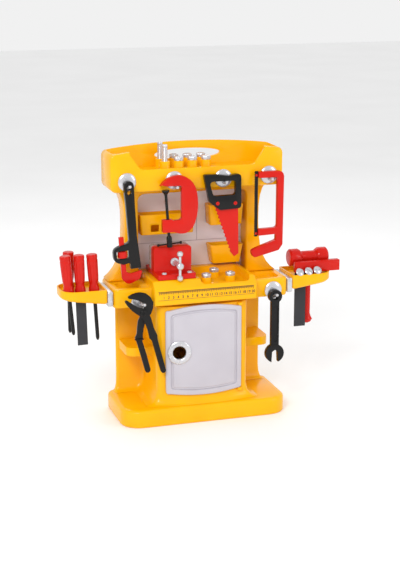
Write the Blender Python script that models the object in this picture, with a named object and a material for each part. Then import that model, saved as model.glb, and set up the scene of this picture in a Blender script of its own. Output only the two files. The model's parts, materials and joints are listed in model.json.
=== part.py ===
"""A child's toy workbench with its tools.

Frame: origin at the middle of the plinth's underside, +X to the bench's right,
+Y to its back, +Z up. Every length is in metres and every angle in degrees.
Moving pieces hang from empties that stand on their joint axes.
"""

import math

import bmesh
import bpy
from mathutils import Matrix, Vector

# Clearances
GAP = 0.0003            # between pieces that touch
RUNNING = 0.0004        # round a shaft that turns or slides

# Plinth
PLINTH_WIDTH = 0.355
PLINTH_DEPTH = 0.152
PLINTH_HEIGHT = 0.037
PLINTH_CORNER = 0.040
PLINTH_REAR_CORNER = 0.010
PLINTH_EDGE = 0.008
PLINTH_WALL = 0.006
PLINTH_NECK = (0.130, 0.060)

# Lower cabinet
CABINET_WIDTH = 0.318
CABINET_BACK = 0.014
BLOCK_WIDTH = 0.194
BLOCK_SHIFT = -0.003
BLOCK_FRONT = 0.048
BLOCK_BOW = 0.012
BLOCK_WALL = 0.009
SKIRT_HEIGHT = 0.030
SKIRT_SPREAD = 0.012
SKIRT_FRONT_STEP = 0.0014
SHELF_TOP = 0.153
SHELF_THICK = 0.018
SHELF_FRONT = 0.014
SHELF_INSET = 0.005
OPENING_MARGIN = 0.008

# Cabinet door and its pull ring
DOOR_WIDTH = 0.162
DOOR_THICK = 0.005
DOOR_SILL = 0.0245
DOOR_HEAD = 0.007
DOOR_ARCH_TOP = 0.009
DOOR_ARCH_FOOT = 0.005
DOOR_CORNER = 0.006
PIN_RADIUS = 0.0018
PIN_REACH = 0.006
LUG_WIDTH = 0.009
RING_OUTER = 0.025
RING_HOLE = 0.0138
RING_THICK = 0.003
RING_INSET = 0.027
RING_SLEEVE = 0.001

# Worktop
BENCH_HEIGHT = 0.285
BENCH_WIDTH = 0.372
BENCH_FRONT = 0.038
BENCH_CORNER = 0.012
APRON = 0.039
LEDGE_WIDTH = 0.217
LEDGE_FRONT = 0.066
LEDGE_APRON = 0.033
LEDGE_SLOPE = 0.018
PLATFORM_RISE = 0.015
WELL_LEFT = -0.009
WELL_RIGHT = 0.097
WELL_FRONT = 0.0595
WELL_BACK = 0.047
DISH_DEPTH = 0.008
DISH_SIZE = (0.046, 0.050)
DISH_EDGE = 0.014

# Upper frame, its backing panel and its bins
FRAME_HEIGHT = 0.190
FRAME_FRONT = 0.029
FRAME_WAIST = 0.143
FOOT_FLARE = 0.041
FOOT_LENGTH = 0.0285
HEAD_FLARE = 0.017
HEAD_LENGTH = 0.020
WINDOW_WIDTH = 0.233
WINDOW_HEAD = 0.011
PANEL_SET_BACK = 0.037
PANEL_THICK = 0.004
BIN_WALL = 0.0025
BIN_DEPTH = 0.036

# Header box
HEADER_WIDTH = 0.365
HEADER_FRONT = 0.008
HEADER_HEIGHT = 0.077
HEADER_ARCH = 0.012
HEADER_LIP = 0.045
HEADER_FLOOR = 0.040
HEADER_WALL = 0.008
EAR_WIDTH = 0.040
EAR_RUN = 0.023
SLOT_WIDTH = 0.142
SLOT_HEIGHT = 0.023
SLOT_RISE = 0.062

# Cups, bolts and pins
CUP_RADIUS = 0.0105
HEADER_CUP = 0.017
BENCH_CUP = 0.012
SHANK_RADIUS = 0.0045
SHANK_LENGTH = 0.0095
HEAD_RADIUS = 0.0094
HEAD_THICK = 0.008
LONG_PIN_RADIUS = 0.0057
LONG_PIN_LENGTH = 0.043
CUP_PITCH = 0.0290
CUP_START = -0.0632
CUP_ROWS = (0.017, 0.053)
BENCH_BOLTS = ((0.0101, -0.030), (0.0394, 0.009), (0.0619, -0.029))

# Hooks
DISC_RADIUS = 0.0185
DISC_THICK = 0.005
PEG_RADIUS = 0.003
PEG_LENGTH = 0.026
PEG_TILT = 10.0
PEG_DROP = 0.0095
HOOK_CLEAR = 0.0008

# Side trays
BRACKET_WIDTH = 0.012
BRACKET_DEPTH = 0.085
BRACKET_HEIGHT = 0.030
TRAY_SPARE = 0.0106         # length the row of handles leaves free beside the bench
TRAY_RISE = 0.001
TRAY_INNER_DROP = 0.030
TRAY_OUTER_DROP = 0.017
TRAY_CORNER = 0.030
TRAY_RIM = 0.003
TRAY_POCKET = 0.008
TRAY_MIDDLE = 0.0085

# Tools: shared
TOOL_THICK = 0.012
SPANNER_CHANNEL = 0.002
HANDLE_RADIUS = 0.0112
HANDLE_LENGTH = 0.078
SOCKET_DEPTH = 0.015
DRIVER_SPACE = 0.001
DRIVER_ROW_SPACE = 0.0116
DRIVER_RIM_ROOM = 0.0018    # between the nut driver and the rim round its corner
DRIVER_CORNER_TURN = 30.0   # where along that corner the nut driver stands
AWL_SHIFT = 0.016
BLADE_ROOM = 0.0008
CHISEL_HALF = 0.0015
NUT_DRIVER_LEAN = 5.0
CHISEL_LEAN = 1.5
SCREWDRIVER_LEAN = 3.0
DRIVER_LIFT = 0.120
ROD_RADIUS = 0.0040

# Pipe wrench
WRENCH_LEAN = 4.0
WRENCH_SHANK_X = -0.024
WRENCH_YOKE_Z = -0.135
NUT_RADIUS = 0.0100
NUT_HEIGHT = 0.013

# C-clamp
CLAMP_LEAN = 4.0
CLAMP_SCREW_RADIUS = 0.0032
CLAMP_HUB_RADIUS = 0.0058

# Vise
VISE_LEFT = -0.096
VISE_WIDTH = 0.080
VISE_FLANGE = 0.011
VISE_FRONT = 0.047
VISE_REACH = 0.103
VISE_HEIGHT = 0.050
VISE_BLOCK_Y = -0.012
VISE_BLOCK_THICK = 0.022
VISE_JAW_THICK = 0.014
VISE_SCREW_RADIUS = 0.005
VISE_SCREW_X = 0.043
VISE_SCREW_RISE = 0.0185
VISE_HANDLE_Y = -0.055
VISE_HANDLE_HALF = 0.0250

# Hammer and try square
HAMMER_HEAD = 0.086
DRUM_RADIUS = 0.0185
HAMMER_GRIP = 0.0080
HAMMER_KNOB = 0.0130
HAMMER_LENGTH = 0.112
STOCK_LENGTH = 0.100
STOCK_HEIGHT = 0.023
STOCK_THICK = 0.012
SQUARE_BLADE = (0.025, 0.118)

LOOKS = {
    "yellow_plastic": ((0.97, 0.55, 0.004), 0.28, 0.0),
    "lilac_plastic": ((0.60, 0.57, 0.64), 0.35, 0.0),
    "silver_plastic": ((0.62, 0.62, 0.66), 0.28, 0.6),
    "red_plastic": ((0.80, 0.015, 0.012), 0.30, 0.0),
    "black_plastic": ((0.018, 0.018, 0.020), 0.38, 0.0),
    "grey_plastic": ((0.070, 0.070, 0.078), 0.45, 0.0),
}

# Levels and planes that several pieces share
REAR = PLINTH_DEPTH / 2
CABINET_FOOT = PLINTH_HEIGHT + GAP
CABINET_TOP = BENCH_HEIGHT - APRON - GAP
PLATFORM = BENCH_HEIGHT + PLATFORM_RISE
FRAME_FOOT = BENCH_HEIGHT + GAP
FRAME_TOP = FRAME_FOOT + FRAME_HEIGHT
HEADER_FOOT = FRAME_TOP + GAP
PANEL_FRONT = FRAME_FRONT + PANEL_SET_BACK
TRAY_TOP = BENCH_HEIGHT + TRAY_RISE
DECK = TRAY_TOP - TRAY_POCKET
TRAY_INNER = BENCH_WIDTH / 2 + BRACKET_WIDTH + 2 * GAP
DRIVER_REACH = TRAY_CORNER - TRAY_RIM - HANDLE_RADIUS - DRIVER_RIM_ROOM
DRIVER_PITCH = 2 * HANDLE_RADIUS + DRIVER_SPACE
DRIVER_SWING = (HANDLE_LENGTH + DRIVER_LIFT) * (
    math.tan(math.radians(SCREWDRIVER_LEAN)) - math.tan(math.radians(CHISEL_LEAN)))
DRIVER_ROW = (
    TRAY_CORNER - DRIVER_REACH * math.cos(math.radians(DRIVER_CORNER_TURN))
    + 2 * DRIVER_PITCH + DRIVER_SWING + HANDLE_RADIUS)
TRAY_LENGTH = DRIVER_ROW + TRAY_SPARE
DOOR_FOOT = PLINTH_HEIGHT + DOOR_SILL
DOOR_TOP = CABINET_TOP - DOOR_HEAD


# ---------------------------------------------------------------- outlines

def rounded(corners, steps=3):
    """An outline from corners (x, y, radius), with each corner turned into an arc."""
    points = []
    count = len(corners)
    for index, (x, y, radius) in enumerate(corners):
        corner = Vector((x, y))
        if radius <= 0:
            points.append((x, y))
            continue
        before = Vector(corners[index - 1][:2]) - corner
        after = Vector(corners[(index + 1) % count][:2]) - corner
        before.normalize()
        after.normalize()
        half = math.acos(max(-1.0, min(1.0, before.dot(after)))) / 2
        reach = radius / math.tan(half)
        middle = corner + (before + after).normalized() * radius / math.sin(half)
        start = corner + before * reach - middle
        end = corner + after * reach - middle
        sweep = start.angle_signed(end)
        for step in range(steps + 1):
            turn = -sweep * step / steps
            spoke = Matrix.Rotation(turn, 2) @ start
            points.append(tuple(middle + spoke))
    return points


def box_outline(x_low, x_high, y_low, y_high, radius=0.0, steps=3):
    return rounded([
        (x_low, y_low, radius),
        (x_high, y_low, radius),
        (x_high, y_high, radius),
        (x_low, y_high, radius),
    ], steps)


def circle(x, y, radius, steps=16):
    return [
        (x + radius * math.cos(2 * math.pi * step / steps),
         y + radius * math.sin(2 * math.pi * step / steps))
        for step in range(steps)
    ]


def flowing(points, steps=3):
    """A Catmull-Rom curve through the points, each of which may also carry a width."""
    result = []
    last = len(points) - 1
    for index in range(last):
        p0 = points[max(index - 1, 0)]
        p1 = points[index]
        p2 = points[index + 1]
        p3 = points[min(index + 2, last)]
        for step in range(steps):
            t = step / steps
            result.append(tuple(
                0.5 * (2 * b + (c - a) * t + (2 * a - 5 * b + 4 * c - d) * t * t
                       + (3 * b - a - 3 * c + d) * t ** 3)
                for a, b, c, d in zip(p0, p1, p2, p3)
            ))
    result.append(tuple(points[last]))
    return result


def stroke(path, cap_steps=4):
    """The outline of a bar that follows a path of (x, y, half width), with round ends."""
    middle = [Vector(point[:2]) for point in path]
    half = [point[2] for point in path]
    last = len(path) - 1
    normals = []
    for index in range(len(path)):
        along = middle[min(index + 1, last)] - middle[max(index - 1, 0)]
        along.normalize()
        normals.append(Vector((-along.y, along.x)))
    left = [m + n * h for m, n, h in zip(middle, normals, half)]
    right = [m - n * h for m, n, h in zip(middle, normals, half)]
    points = list(right)
    points += [
        middle[last] + Matrix.Rotation(math.pi * step / cap_steps, 2) @ (right[last] - middle[last])
        for step in range(1, cap_steps)
    ]
    points += reversed(left)
    points += [
        middle[0] + Matrix.Rotation(math.pi * step / cap_steps, 2) @ (left[0] - middle[0])
        for step in range(1, cap_steps)
    ]
    return [tuple(point) for point in points]


# ---------------------------------------------------------------- solids

PLANES = {
    "X": lambda a, b, depth: (depth, a, b),
    "Y": lambda a, b, depth: (a, depth, b),
    "Z": lambda a, b, depth: (a, b, depth),
}


def add_loft(bm, rings, looped=False):
    """Skins rings of equal length. Open lofts get a cap at each end."""
    rows = [[bm.verts.new(point) for point in ring] for ring in rings]
    count = len(rows[0])
    pairs = list(zip(rows, rows[1:]))
    if looped:
        pairs.append((rows[-1], rows[0]))
    for low, high in pairs:
        for index in range(count):
            after = (index + 1) % count
            bm.faces.new((low[index], low[after], high[after], high[index]))
    if not looped:
        bm.faces.new(list(reversed(rows[0])))
        bm.faces.new(rows[-1])
    return bm


def add_prism(bm, outline, low, high, axis="Z"):
    place = PLANES[axis]
    return add_loft(bm, [[place(a, b, depth) for a, b in outline] for depth in (low, high)])


def add_turned(bm, profile, steps=16, matrix=None, looped=False):
    """Turns a profile of (radius, height) round +Z, then moves it by the matrix."""
    matrix = matrix or Matrix.Identity(4)
    rings = []
    for radius, height in profile:
        ring = []
        for step in range(steps):
            turn = 2 * math.pi * step / steps
            spoke = Vector((radius * math.cos(turn), radius * math.sin(turn), height))
            ring.append(matrix @ spoke)
        rings.append(ring)
    return add_loft(bm, rings, looped)


def along(axis, at=(0.0, 0.0, 0.0)):
    """A matrix that takes +Z to the given direction and the origin to a place."""
    turn = Vector((0.0, 0.0, 1.0)).rotation_difference(Vector(axis)).to_matrix().to_4x4()
    return Matrix.Translation(at) @ turn


# ---------------------------------------------------------------- objects

def clear_scene():
    for obj in list(bpy.data.objects):
        bpy.data.objects.remove(obj, do_unlink=True)


def make_material(name):
    colour, roughness, metallic = LOOKS[name]
    material = bpy.data.materials.new(name)
    material.use_nodes = True
    shader = material.node_tree.nodes["Principled BSDF"]
    shader.inputs["Base Color"].default_value = (*colour, 1.0)
    shader.inputs["Roughness"].default_value = roughness
    shader.inputs["Metallic"].default_value = metallic
    return material


def make_object(name, bm, parent=None):
    bmesh.ops.recalc_face_normals(bm, faces=bm.faces)
    mesh = bpy.data.meshes.new(name)
    bm.to_mesh(mesh)
    bm.free()
    obj = bpy.data.objects.new(name, mesh)
    bpy.context.scene.collection.objects.link(obj)
    obj.parent = parent
    return obj


def make_node(name, bm, look, parent=None):
    obj = make_object(name, bm, parent)
    material = bpy.data.materials.get(look) or make_material(look)
    obj.data.materials.append(material)
    obj.data.shade_smooth()
    obj.data.set_sharp_from_angle(angle=math.radians(35))
    return obj


def make_joint(name, at, lean=0.0, parent=None):
    """An empty on a joint's axis. A lean swings its lower end towards +X."""
    empty = bpy.data.objects.new(name, None)
    bpy.context.scene.collection.objects.link(empty)
    empty.empty_display_size = 0.01
    empty.parent = parent
    empty.location = at
    empty.rotation_euler.y = -math.radians(lean)
    return empty


def combine(obj, name, bm, operation):
    """Adds a Boolean with a hidden helper that shares the object's own space."""
    helper = make_object(f"{obj.name}_{name}", bm, obj)
    helper.hide_render = True
    helper.display_type = "WIRE"
    modifier = obj.modifiers.new(name, "BOOLEAN")
    modifier.operation = operation
    modifier.solver = "EXACT"
    modifier.object = helper


def cut(obj, name, bm):
    combine(obj, name, bm, "DIFFERENCE")


def fuse(obj, name, bm):
    combine(obj, name, bm, "UNION")


def soften(obj, width, segments=2, angle=50):
    modifier = obj.modifiers.new("soft_edges", "BEVEL")
    modifier.width = width
    modifier.segments = segments
    modifier.limit_method = "ANGLE"
    modifier.angle_limit = math.radians(angle)


def new():
    return bmesh.new()


# ---------------------------------------------------------------- plinth and cabinet

def make_plinth():
    half_width = PLINTH_WIDTH / 2
    outline = rounded([
        (-half_width, -REAR, PLINTH_CORNER),
        (half_width, -REAR, PLINTH_CORNER),
        (half_width, REAR, PLINTH_REAR_CORNER),
        (-half_width, REAR, PLINTH_REAR_CORNER),
    ], 6)
    inset = PLINTH_EDGE

    def ring(shrink, height):
        return [
            (x * (half_width - shrink) / half_width,
             y * (REAR - shrink) / REAR if y < 0 else y, height)
            for x, y in outline
        ]

    rings = [ring(0.002, 0.0), ring(0.0, 0.003), ring(0.0, PLINTH_HEIGHT - inset)]
    for step in (1, 2, 3):
        turn = math.radians(30 * step)
        rings.append(ring(
            inset * (1 - math.cos(turn)), PLINTH_HEIGHT - inset * (1 - math.sin(turn))))
    plinth = make_node("base_plinth", add_loft(new(), rings), "yellow_plastic")
    neck_x, neck_y = PLINTH_NECK
    neck = box_outline(-neck_x / 2, neck_x / 2, -neck_y / 2, neck_y / 2, 0.006)
    cut(plinth, "neck", add_prism(new(), neck, PLINTH_HEIGHT / 2, PLINTH_HEIGHT + 0.01))
    reach_x = half_width - PLINTH_WALL - PLINTH_EDGE / 2
    reach_y = REAR - PLINTH_WALL - PLINTH_EDGE / 2
    hollow = box_outline(-reach_x, reach_x, -reach_y, reach_y, PLINTH_CORNER * 0.75, 3)
    cut(plinth, "hollow", add_prism(new(), hollow, PLINTH_WALL, PLINTH_HEIGHT - PLINTH_WALL))


def block_face(x):
    """The y of the cabinet block's bowed front face, x measured from the block's middle."""
    return -BLOCK_FRONT - BLOCK_BOW * (1 - (2 * x / BLOCK_WIDTH) ** 2)


def cabinet_outline(spread):
    """The cabinet in plan: a wide back with a bowed block in front of it."""
    back_half = CABINET_WIDTH / 2 + 0.6 * spread
    block_half = BLOCK_WIDTH / 2 + 2 * spread
    step_y = REAR - CABINET_BACK - spread
    front = max(0.0, 0.8 * spread - SKIRT_FRONT_STEP)
    corners = [
        (-back_half, REAR, 0.006),
        (-back_half, step_y, 0.005),
        (BLOCK_SHIFT - block_half, step_y, 0.010),
        (BLOCK_SHIFT - block_half, -BLOCK_FRONT - front, 0.012),
    ]
    for share in (-0.6, -0.3, 0.0, 0.3, 0.6):
        face = block_face(share * BLOCK_WIDTH / 2)
        corners.append((BLOCK_SHIFT + share * block_half, face - front, 0.0))
    corners += [
        (BLOCK_SHIFT + block_half, -BLOCK_FRONT - front, 0.012),
        (BLOCK_SHIFT + block_half, step_y, 0.010),
        (back_half, step_y, 0.005),
        (back_half, REAR, 0.006),
    ]
    return rounded(corners)


def make_cabinet():
    levels = [(CABINET_FOOT + SKIRT_HEIGHT * share, SKIRT_SPREAD * (1 - math.sqrt(1 - (1 - share) ** 2)))
              for share in (0.0, 0.08, 0.25, 0.5, 1.0)]
    levels.append((CABINET_TOP, 0.0))
    rings = [[(x, y, height) for x, y in cabinet_outline(spread)] for height, spread in levels]
    cabinet = make_node("lower_cabinet", add_loft(new(), rings), "yellow_plastic")
    add_side_shelves(cabinet)
    hollow_cabinet(cabinet)
    add_hinge_lugs(cabinet)


def add_side_shelves(cabinet):
    for side, name in ((-1, "left_shelf"), (1, "right_shelf")):
        inner = BLOCK_SHIFT + side * (BLOCK_WIDTH / 2 - BLOCK_WALL / 2)
        outer = side * (CABINET_WIDTH / 2 - SHELF_INSET)
        corners = [
            (inner, -SHELF_FRONT, 0.0),
            (outer, -SHELF_FRONT, 0.018),
            (outer, REAR - CABINET_BACK / 2, 0.0),
            (inner, REAR - CABINET_BACK / 2, 0.0),
        ]
        shelf = add_prism(new(), rounded(corners, 4), SHELF_TOP - SHELF_THICK, SHELF_TOP)
        fuse(cabinet, name, shelf)


def hollow_cabinet(cabinet):
    inside = BLOCK_WIDTH / 2 - BLOCK_WALL
    room = box_outline(
        BLOCK_SHIFT - inside, BLOCK_SHIFT + inside,
        -BLOCK_FRONT + BLOCK_WALL, REAR - BLOCK_WALL, 0.008)
    floor = DOOR_FOOT + OPENING_MARGIN - 0.004
    cut(cabinet, "room", add_prism(new(), room, floor, CABINET_TOP - BLOCK_WALL))
    half = DOOR_WIDTH / 2 - OPENING_MARGIN
    mouth = box_outline(
        BLOCK_SHIFT - half, BLOCK_SHIFT + half,
        DOOR_FOOT + OPENING_MARGIN, DOOR_TOP - OPENING_MARGIN, 0.010)
    cut(cabinet, "mouth", add_prism(new(), mouth, -BLOCK_FRONT - 0.03, 0.0, "Y"))


def hinge_axis():
    """The x and y of the door's hinge line, at the middle of the door's right edge."""
    x = DOOR_WIDTH / 2 - DOOR_THICK / 2
    y = block_face(x) - 2 * GAP - DOOR_THICK / 2
    return BLOCK_SHIFT + x, y


def add_hinge_lugs(cabinet):
    x, y = hinge_axis()
    outline = rounded([
        (x - LUG_WIDTH / 2, y - LUG_WIDTH / 2, 0.003),
        (x + LUG_WIDTH / 2, y - LUG_WIDTH / 2, 0.003),
        (x + LUG_WIDTH / 2, -BLOCK_FRONT + 0.004, 0.0),
        (x - LUG_WIDTH / 2, -BLOCK_FRONT + 0.004, 0.0),
    ])
    for name, low in (("lower_lug", DOOR_FOOT - PIN_REACH - GAP), ("upper_lug", DOOR_TOP + GAP)):
        fuse(cabinet, name, add_prism(new(), outline, low, low + PIN_REACH))
        hole = circle(x, y, PIN_RADIUS + GAP, 12)
        cut(cabinet, f"{name}_hole", add_prism(new(), hole, low - 0.002, low + PIN_REACH + 0.002))


# ---------------------------------------------------------------- door

def door_rings(origin):
    """Rings from the free edge to the hinge edge, which is rounded about the hinge line."""
    half = DOOR_WIDTH / 2
    radius = DOOR_THICK / 2
    stations = [(-half, 1.0), (-half + 0.002, 0.30), (-half + DOOR_CORNER, 0.0)]
    stations += [(share * half, 0.0) for share in (-0.8, -0.6, -0.4, -0.2, 0.0, 0.2, 0.4, 0.6, 0.8)]
    stations += [(half - DOOR_CORNER, 0.0), (half - radius, 0.25)]
    rings = []
    for x, dip in stations:
        rings.append(door_ring(x, dip, radius, origin))
    for angle in (40, 75):
        turn = math.radians(angle)
        x = half - radius + radius * math.sin(turn)
        rings.append(door_ring(x, 0.25 + angle / 150, radius * math.cos(turn), origin))
    return rings


def door_ring(x, dip, half_thick, origin):
    """One upright section of the door, dip being its share of the corner rounding."""
    half = DOOR_WIDTH / 2
    arch = max(0.0, 1 - (x / (half - LUG_WIDTH)) ** 2)
    top = DOOR_TOP + DOOR_ARCH_TOP * arch - DOOR_CORNER * dip
    foot = DOOR_FOOT - DOOR_ARCH_FOOT * arch + DOOR_CORNER * dip
    flat_x = min(x, half - DOOR_THICK / 2)
    middle = block_face(flat_x) - 2 * GAP - DOOR_THICK / 2
    x_local = BLOCK_SHIFT + x - origin[0]
    y_local = middle - origin[1]
    return [
        (x_local, y_local - half_thick, foot),
        (x_local, y_local - half_thick, top),
        (x_local, y_local + half_thick, top),
        (x_local, y_local + half_thick, foot),
    ]


def make_door():
    origin = hinge_axis()
    joint = make_joint("door_hinge", (origin[0], origin[1], 0.0))
    door = make_node("cabinet_door", add_loft(new(), door_rings(origin)), "lilac_plastic", joint)
    pin = [(PIN_RADIUS, DOOR_FOOT - PIN_REACH), (PIN_RADIUS, DOOR_TOP + PIN_REACH)]
    fuse(door, "hinge_pin", add_turned(new(), pin, 12))
    ring_x = -DOOR_WIDTH / 2 + RING_INSET
    face_y = block_face(ring_x) - 2 * GAP - DOOR_THICK
    slope = 8 * BLOCK_BOW * ring_x / BLOCK_WIDTH ** 2
    outward = Vector((slope, -1.0, 0.0)).normalized()
    at = Vector((BLOCK_SHIFT + ring_x - origin[0], face_y - origin[1], (DOOR_FOOT + DOOR_TOP) / 2))
    sleeve = RING_HOLE + RING_SLEEVE
    hole = [(sleeve + GAP, -0.02), (sleeve + GAP, 0.02)]
    cut(door, "finger_hole", add_turned(new(), hole, 24, along(outward, at)))
    profile = [
        (RING_HOLE, -DOOR_THICK + 0.001),
        (sleeve, -DOOR_THICK + 0.001),
        (sleeve, GAP),
        (RING_OUTER - 0.001, GAP),
        (RING_OUTER, RING_THICK * 0.4),
        (RING_OUTER - 0.003, RING_THICK),
        (RING_HOLE + 0.002, RING_THICK),
        (RING_HOLE, RING_THICK * 0.5),
    ]
    ring = add_turned(new(), profile, 24, along(outward, at), looped=True)
    make_node("door_pull_ring", ring, "silver_plastic", joint)


# ---------------------------------------------------------------- worktop

def add_cup(obj, name, x, y, floor, height, hole_radius, hole_depth):
    """A round socket that stands on a floor, open at its top."""
    ring = [(CUP_RADIUS, floor - 0.003), (CUP_RADIUS, floor + height - 0.001),
            (CUP_RADIUS - 0.001, floor + height)]
    fuse(obj, name, add_turned(new(), ring, 16, Matrix.Translation((x, y, 0.0))))
    top = floor + height
    hole = [(hole_radius, top - hole_depth), (hole_radius, top + 0.002)]
    cut(obj, f"{name}_hole", add_turned(new(), hole, 12, Matrix.Translation((x, y, 0.0))))


def make_worktop():
    half = BENCH_WIDTH / 2
    slab = box_outline(-half, half, -BENCH_FRONT, REAR, BENCH_CORNER, 4)
    worktop = make_node(
        "worktop", add_prism(new(), slab, BENCH_HEIGHT - APRON, BENCH_HEIGHT), "yellow_plastic")
    soften(worktop, 0.004)
    fuse(worktop, "ledge", make_ledge())
    well = box_outline(WELL_LEFT, WELL_RIGHT, -WELL_FRONT, WELL_BACK, 0.010)
    cut(worktop, "well", add_prism(new(), well, BENCH_HEIGHT, PLATFORM + 0.01))
    cut_dishes(worktop)
    cut_underside(worktop)
    for index, (x, y) in enumerate(BENCH_BOLTS):
        add_cup(worktop, f"cup_{index + 1}", x, y, BENCH_HEIGHT, BENCH_CUP,
                SHANK_RADIUS + RUNNING, SHANK_LENGTH + 0.0015)


def make_ledge():
    """The middle of the bench: the ruler's face, a slope above it and the platform."""
    half = LEDGE_WIDTH / 2
    foot = BENCH_HEIGHT - LEDGE_APRON
    back = PANEL_FRONT - GAP
    profile = rounded([
        (-LEDGE_FRONT, foot, 0.004),
        (back, foot, 0.0),
        (back, PLATFORM, 0.0),
        (-LEDGE_FRONT + LEDGE_SLOPE, PLATFORM, 0.005),
        (-LEDGE_FRONT, BENCH_HEIGHT - 0.001, 0.004),
    ])
    edge = 0.003
    rings = []
    for x, shrink in ((-half, edge), (-half + edge, 0.0), (half - edge, 0.0), (half, edge)):
        rings.append([
            (x, max(y, -LEDGE_FRONT + shrink) if y < 0 else y, min(z, PLATFORM - shrink))
            for y, z in profile
        ])
    return add_loft(new(), rings)


def cut_dishes(worktop):
    """A shallow dish in each wing, beside the ledge."""
    width, depth = DISH_SIZE
    for side, name in ((-1, "left_dish"), (1, "right_dish")):
        outer = side * (BENCH_WIDTH / 2 - DISH_EDGE)
        inner = outer - side * width
        low, high = sorted((inner, outer))
        dish = box_outline(low, high, -BENCH_FRONT + 0.010, -BENCH_FRONT + 0.010 + depth, 0.012)
        cut(worktop, name, add_prism(new(), dish, BENCH_HEIGHT - DISH_DEPTH, BENCH_HEIGHT + 0.01))


def cut_underside(worktop):
    """Three pockets that leave ribs where the cabinet carries the worktop."""
    foot = BENCH_HEIGHT - APRON
    wall = 0.008
    rib = BLOCK_WIDTH / 2 + abs(BLOCK_SHIFT) + 0.002
    ceiling = BENCH_HEIGHT - DISH_DEPTH - 0.006
    inner = BLOCK_WIDTH / 2 - abs(BLOCK_SHIFT) - wall
    spans = (
        ("left_pocket", -BENCH_WIDTH / 2 + wall, -rib),
        ("middle_pocket", -inner, inner),
        ("right_pocket", rib, BENCH_WIDTH / 2 - wall),
    )
    for name, low, high in spans:
        pocket = box_outline(low, high, -BENCH_FRONT + wall, REAR - CABINET_BACK - 0.002, 0.004, 2)
        cut(worktop, name, add_prism(new(), pocket, foot - 0.01, ceiling))


# ---------------------------------------------------------------- upper frame

def frame_half_width(height):
    """Half the frame's width: slim at the waist and flared at its foot and head."""
    foot = FOOT_FLARE * math.exp(-(height - FRAME_FOOT) / FOOT_LENGTH)
    head = HEAD_FLARE * math.exp(-(FRAME_TOP - height) / HEAD_LENGTH)
    return FRAME_WAIST + foot + head


def make_upper_frame():
    shares = (0.0, 0.05, 0.11, 0.18, 0.28, 0.42, 0.58, 0.74, 0.86, 0.94, 1.0)
    heights = [FRAME_FOOT + FRAME_HEIGHT * share for share in shares]
    right = [(frame_half_width(height), height) for height in heights]
    left = [(-x, z) for x, z in reversed(right)]
    frame = make_node(
        "upper_frame", add_prism(new(), right + left, FRAME_FRONT, REAR, "Y"), "yellow_plastic")
    half = WINDOW_WIDTH / 2
    top = FRAME_TOP - WINDOW_HEAD
    window = rounded([
        (-half, FRAME_FOOT - 0.01, 0.0),
        (half, FRAME_FOOT - 0.01, 0.0),
        (half, top, 0.014),
        (-half, top, 0.014),
    ], 4)
    cut(frame, "window", add_prism(new(), window, FRAME_FRONT - 0.01, REAR + 0.01, "Y"))


def make_backing_panel():
    half = WINDOW_WIDTH / 2 - GAP
    top = FRAME_TOP - WINDOW_HEAD - GAP
    outline = rounded([
        (-half, FRAME_FOOT, 0.0),
        (half, FRAME_FOOT, 0.0),
        (half, top, 0.0140),
        (-half, top, 0.0140),
    ], 4)
    panel = add_prism(new(), outline, PANEL_FRONT, PANEL_FRONT + PANEL_THICK, "Y")
    make_node("backing_panel", panel, "lilac_plastic")


def make_bin(name, left, right, foot, top, taper):
    """An open-topped bin on the backing panel, narrower at its foot by the taper."""
    back = PANEL_FRONT - GAP
    front = back - BIN_DEPTH

    def section(inset, low, high):
        rings = []
        for height, squeeze in ((low, taper), (high, 0.0)):
            outline = box_outline(
                left + inset + squeeze, right - inset - squeeze,
                front + inset + squeeze / 2, back - inset, 0.004, 2)
            rings.append([(x, y, height) for x, y in outline])
        return add_loft(new(), rings)

    tray = make_node(name, section(0.0, foot, top), "yellow_plastic")
    cut(tray, "pocket", section(BIN_WALL, foot + BIN_WALL, top + 0.0005))
    return tray, front


def make_bins():
    left = -WINDOW_WIDTH / 2 + 0.004
    right = WINDOW_WIDTH / 2 - 0.006
    window_top = FRAME_TOP - WINDOW_HEAD
    foot = window_top - 0.086
    tray, front = make_bin("bin_left", left, left + 0.117, foot, window_top - 0.044, 0.003)
    hole = box_outline(left + 0.023, left + 0.040, foot + 0.006, foot + 0.021, 0.002, 2)
    cut(tray, "hole", add_prism(new(), hole, front - 0.005, front + 0.010, "Y"))
    make_bin("bin_right_upper", right - 0.075, right, window_top - 0.074, window_top - 0.032, 0.003)
    make_bin("bin_right_lower", right - 0.072, right, PLATFORM + 0.008, PLATFORM + 0.047, 0.006)


# ---------------------------------------------------------------- header box

def cup_places():
    """The header's cups, column by column and front row first."""
    return [
        (CUP_START + CUP_PITCH * column, row)
        for column in range(4)
        for row in CUP_ROWS
    ]


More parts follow.
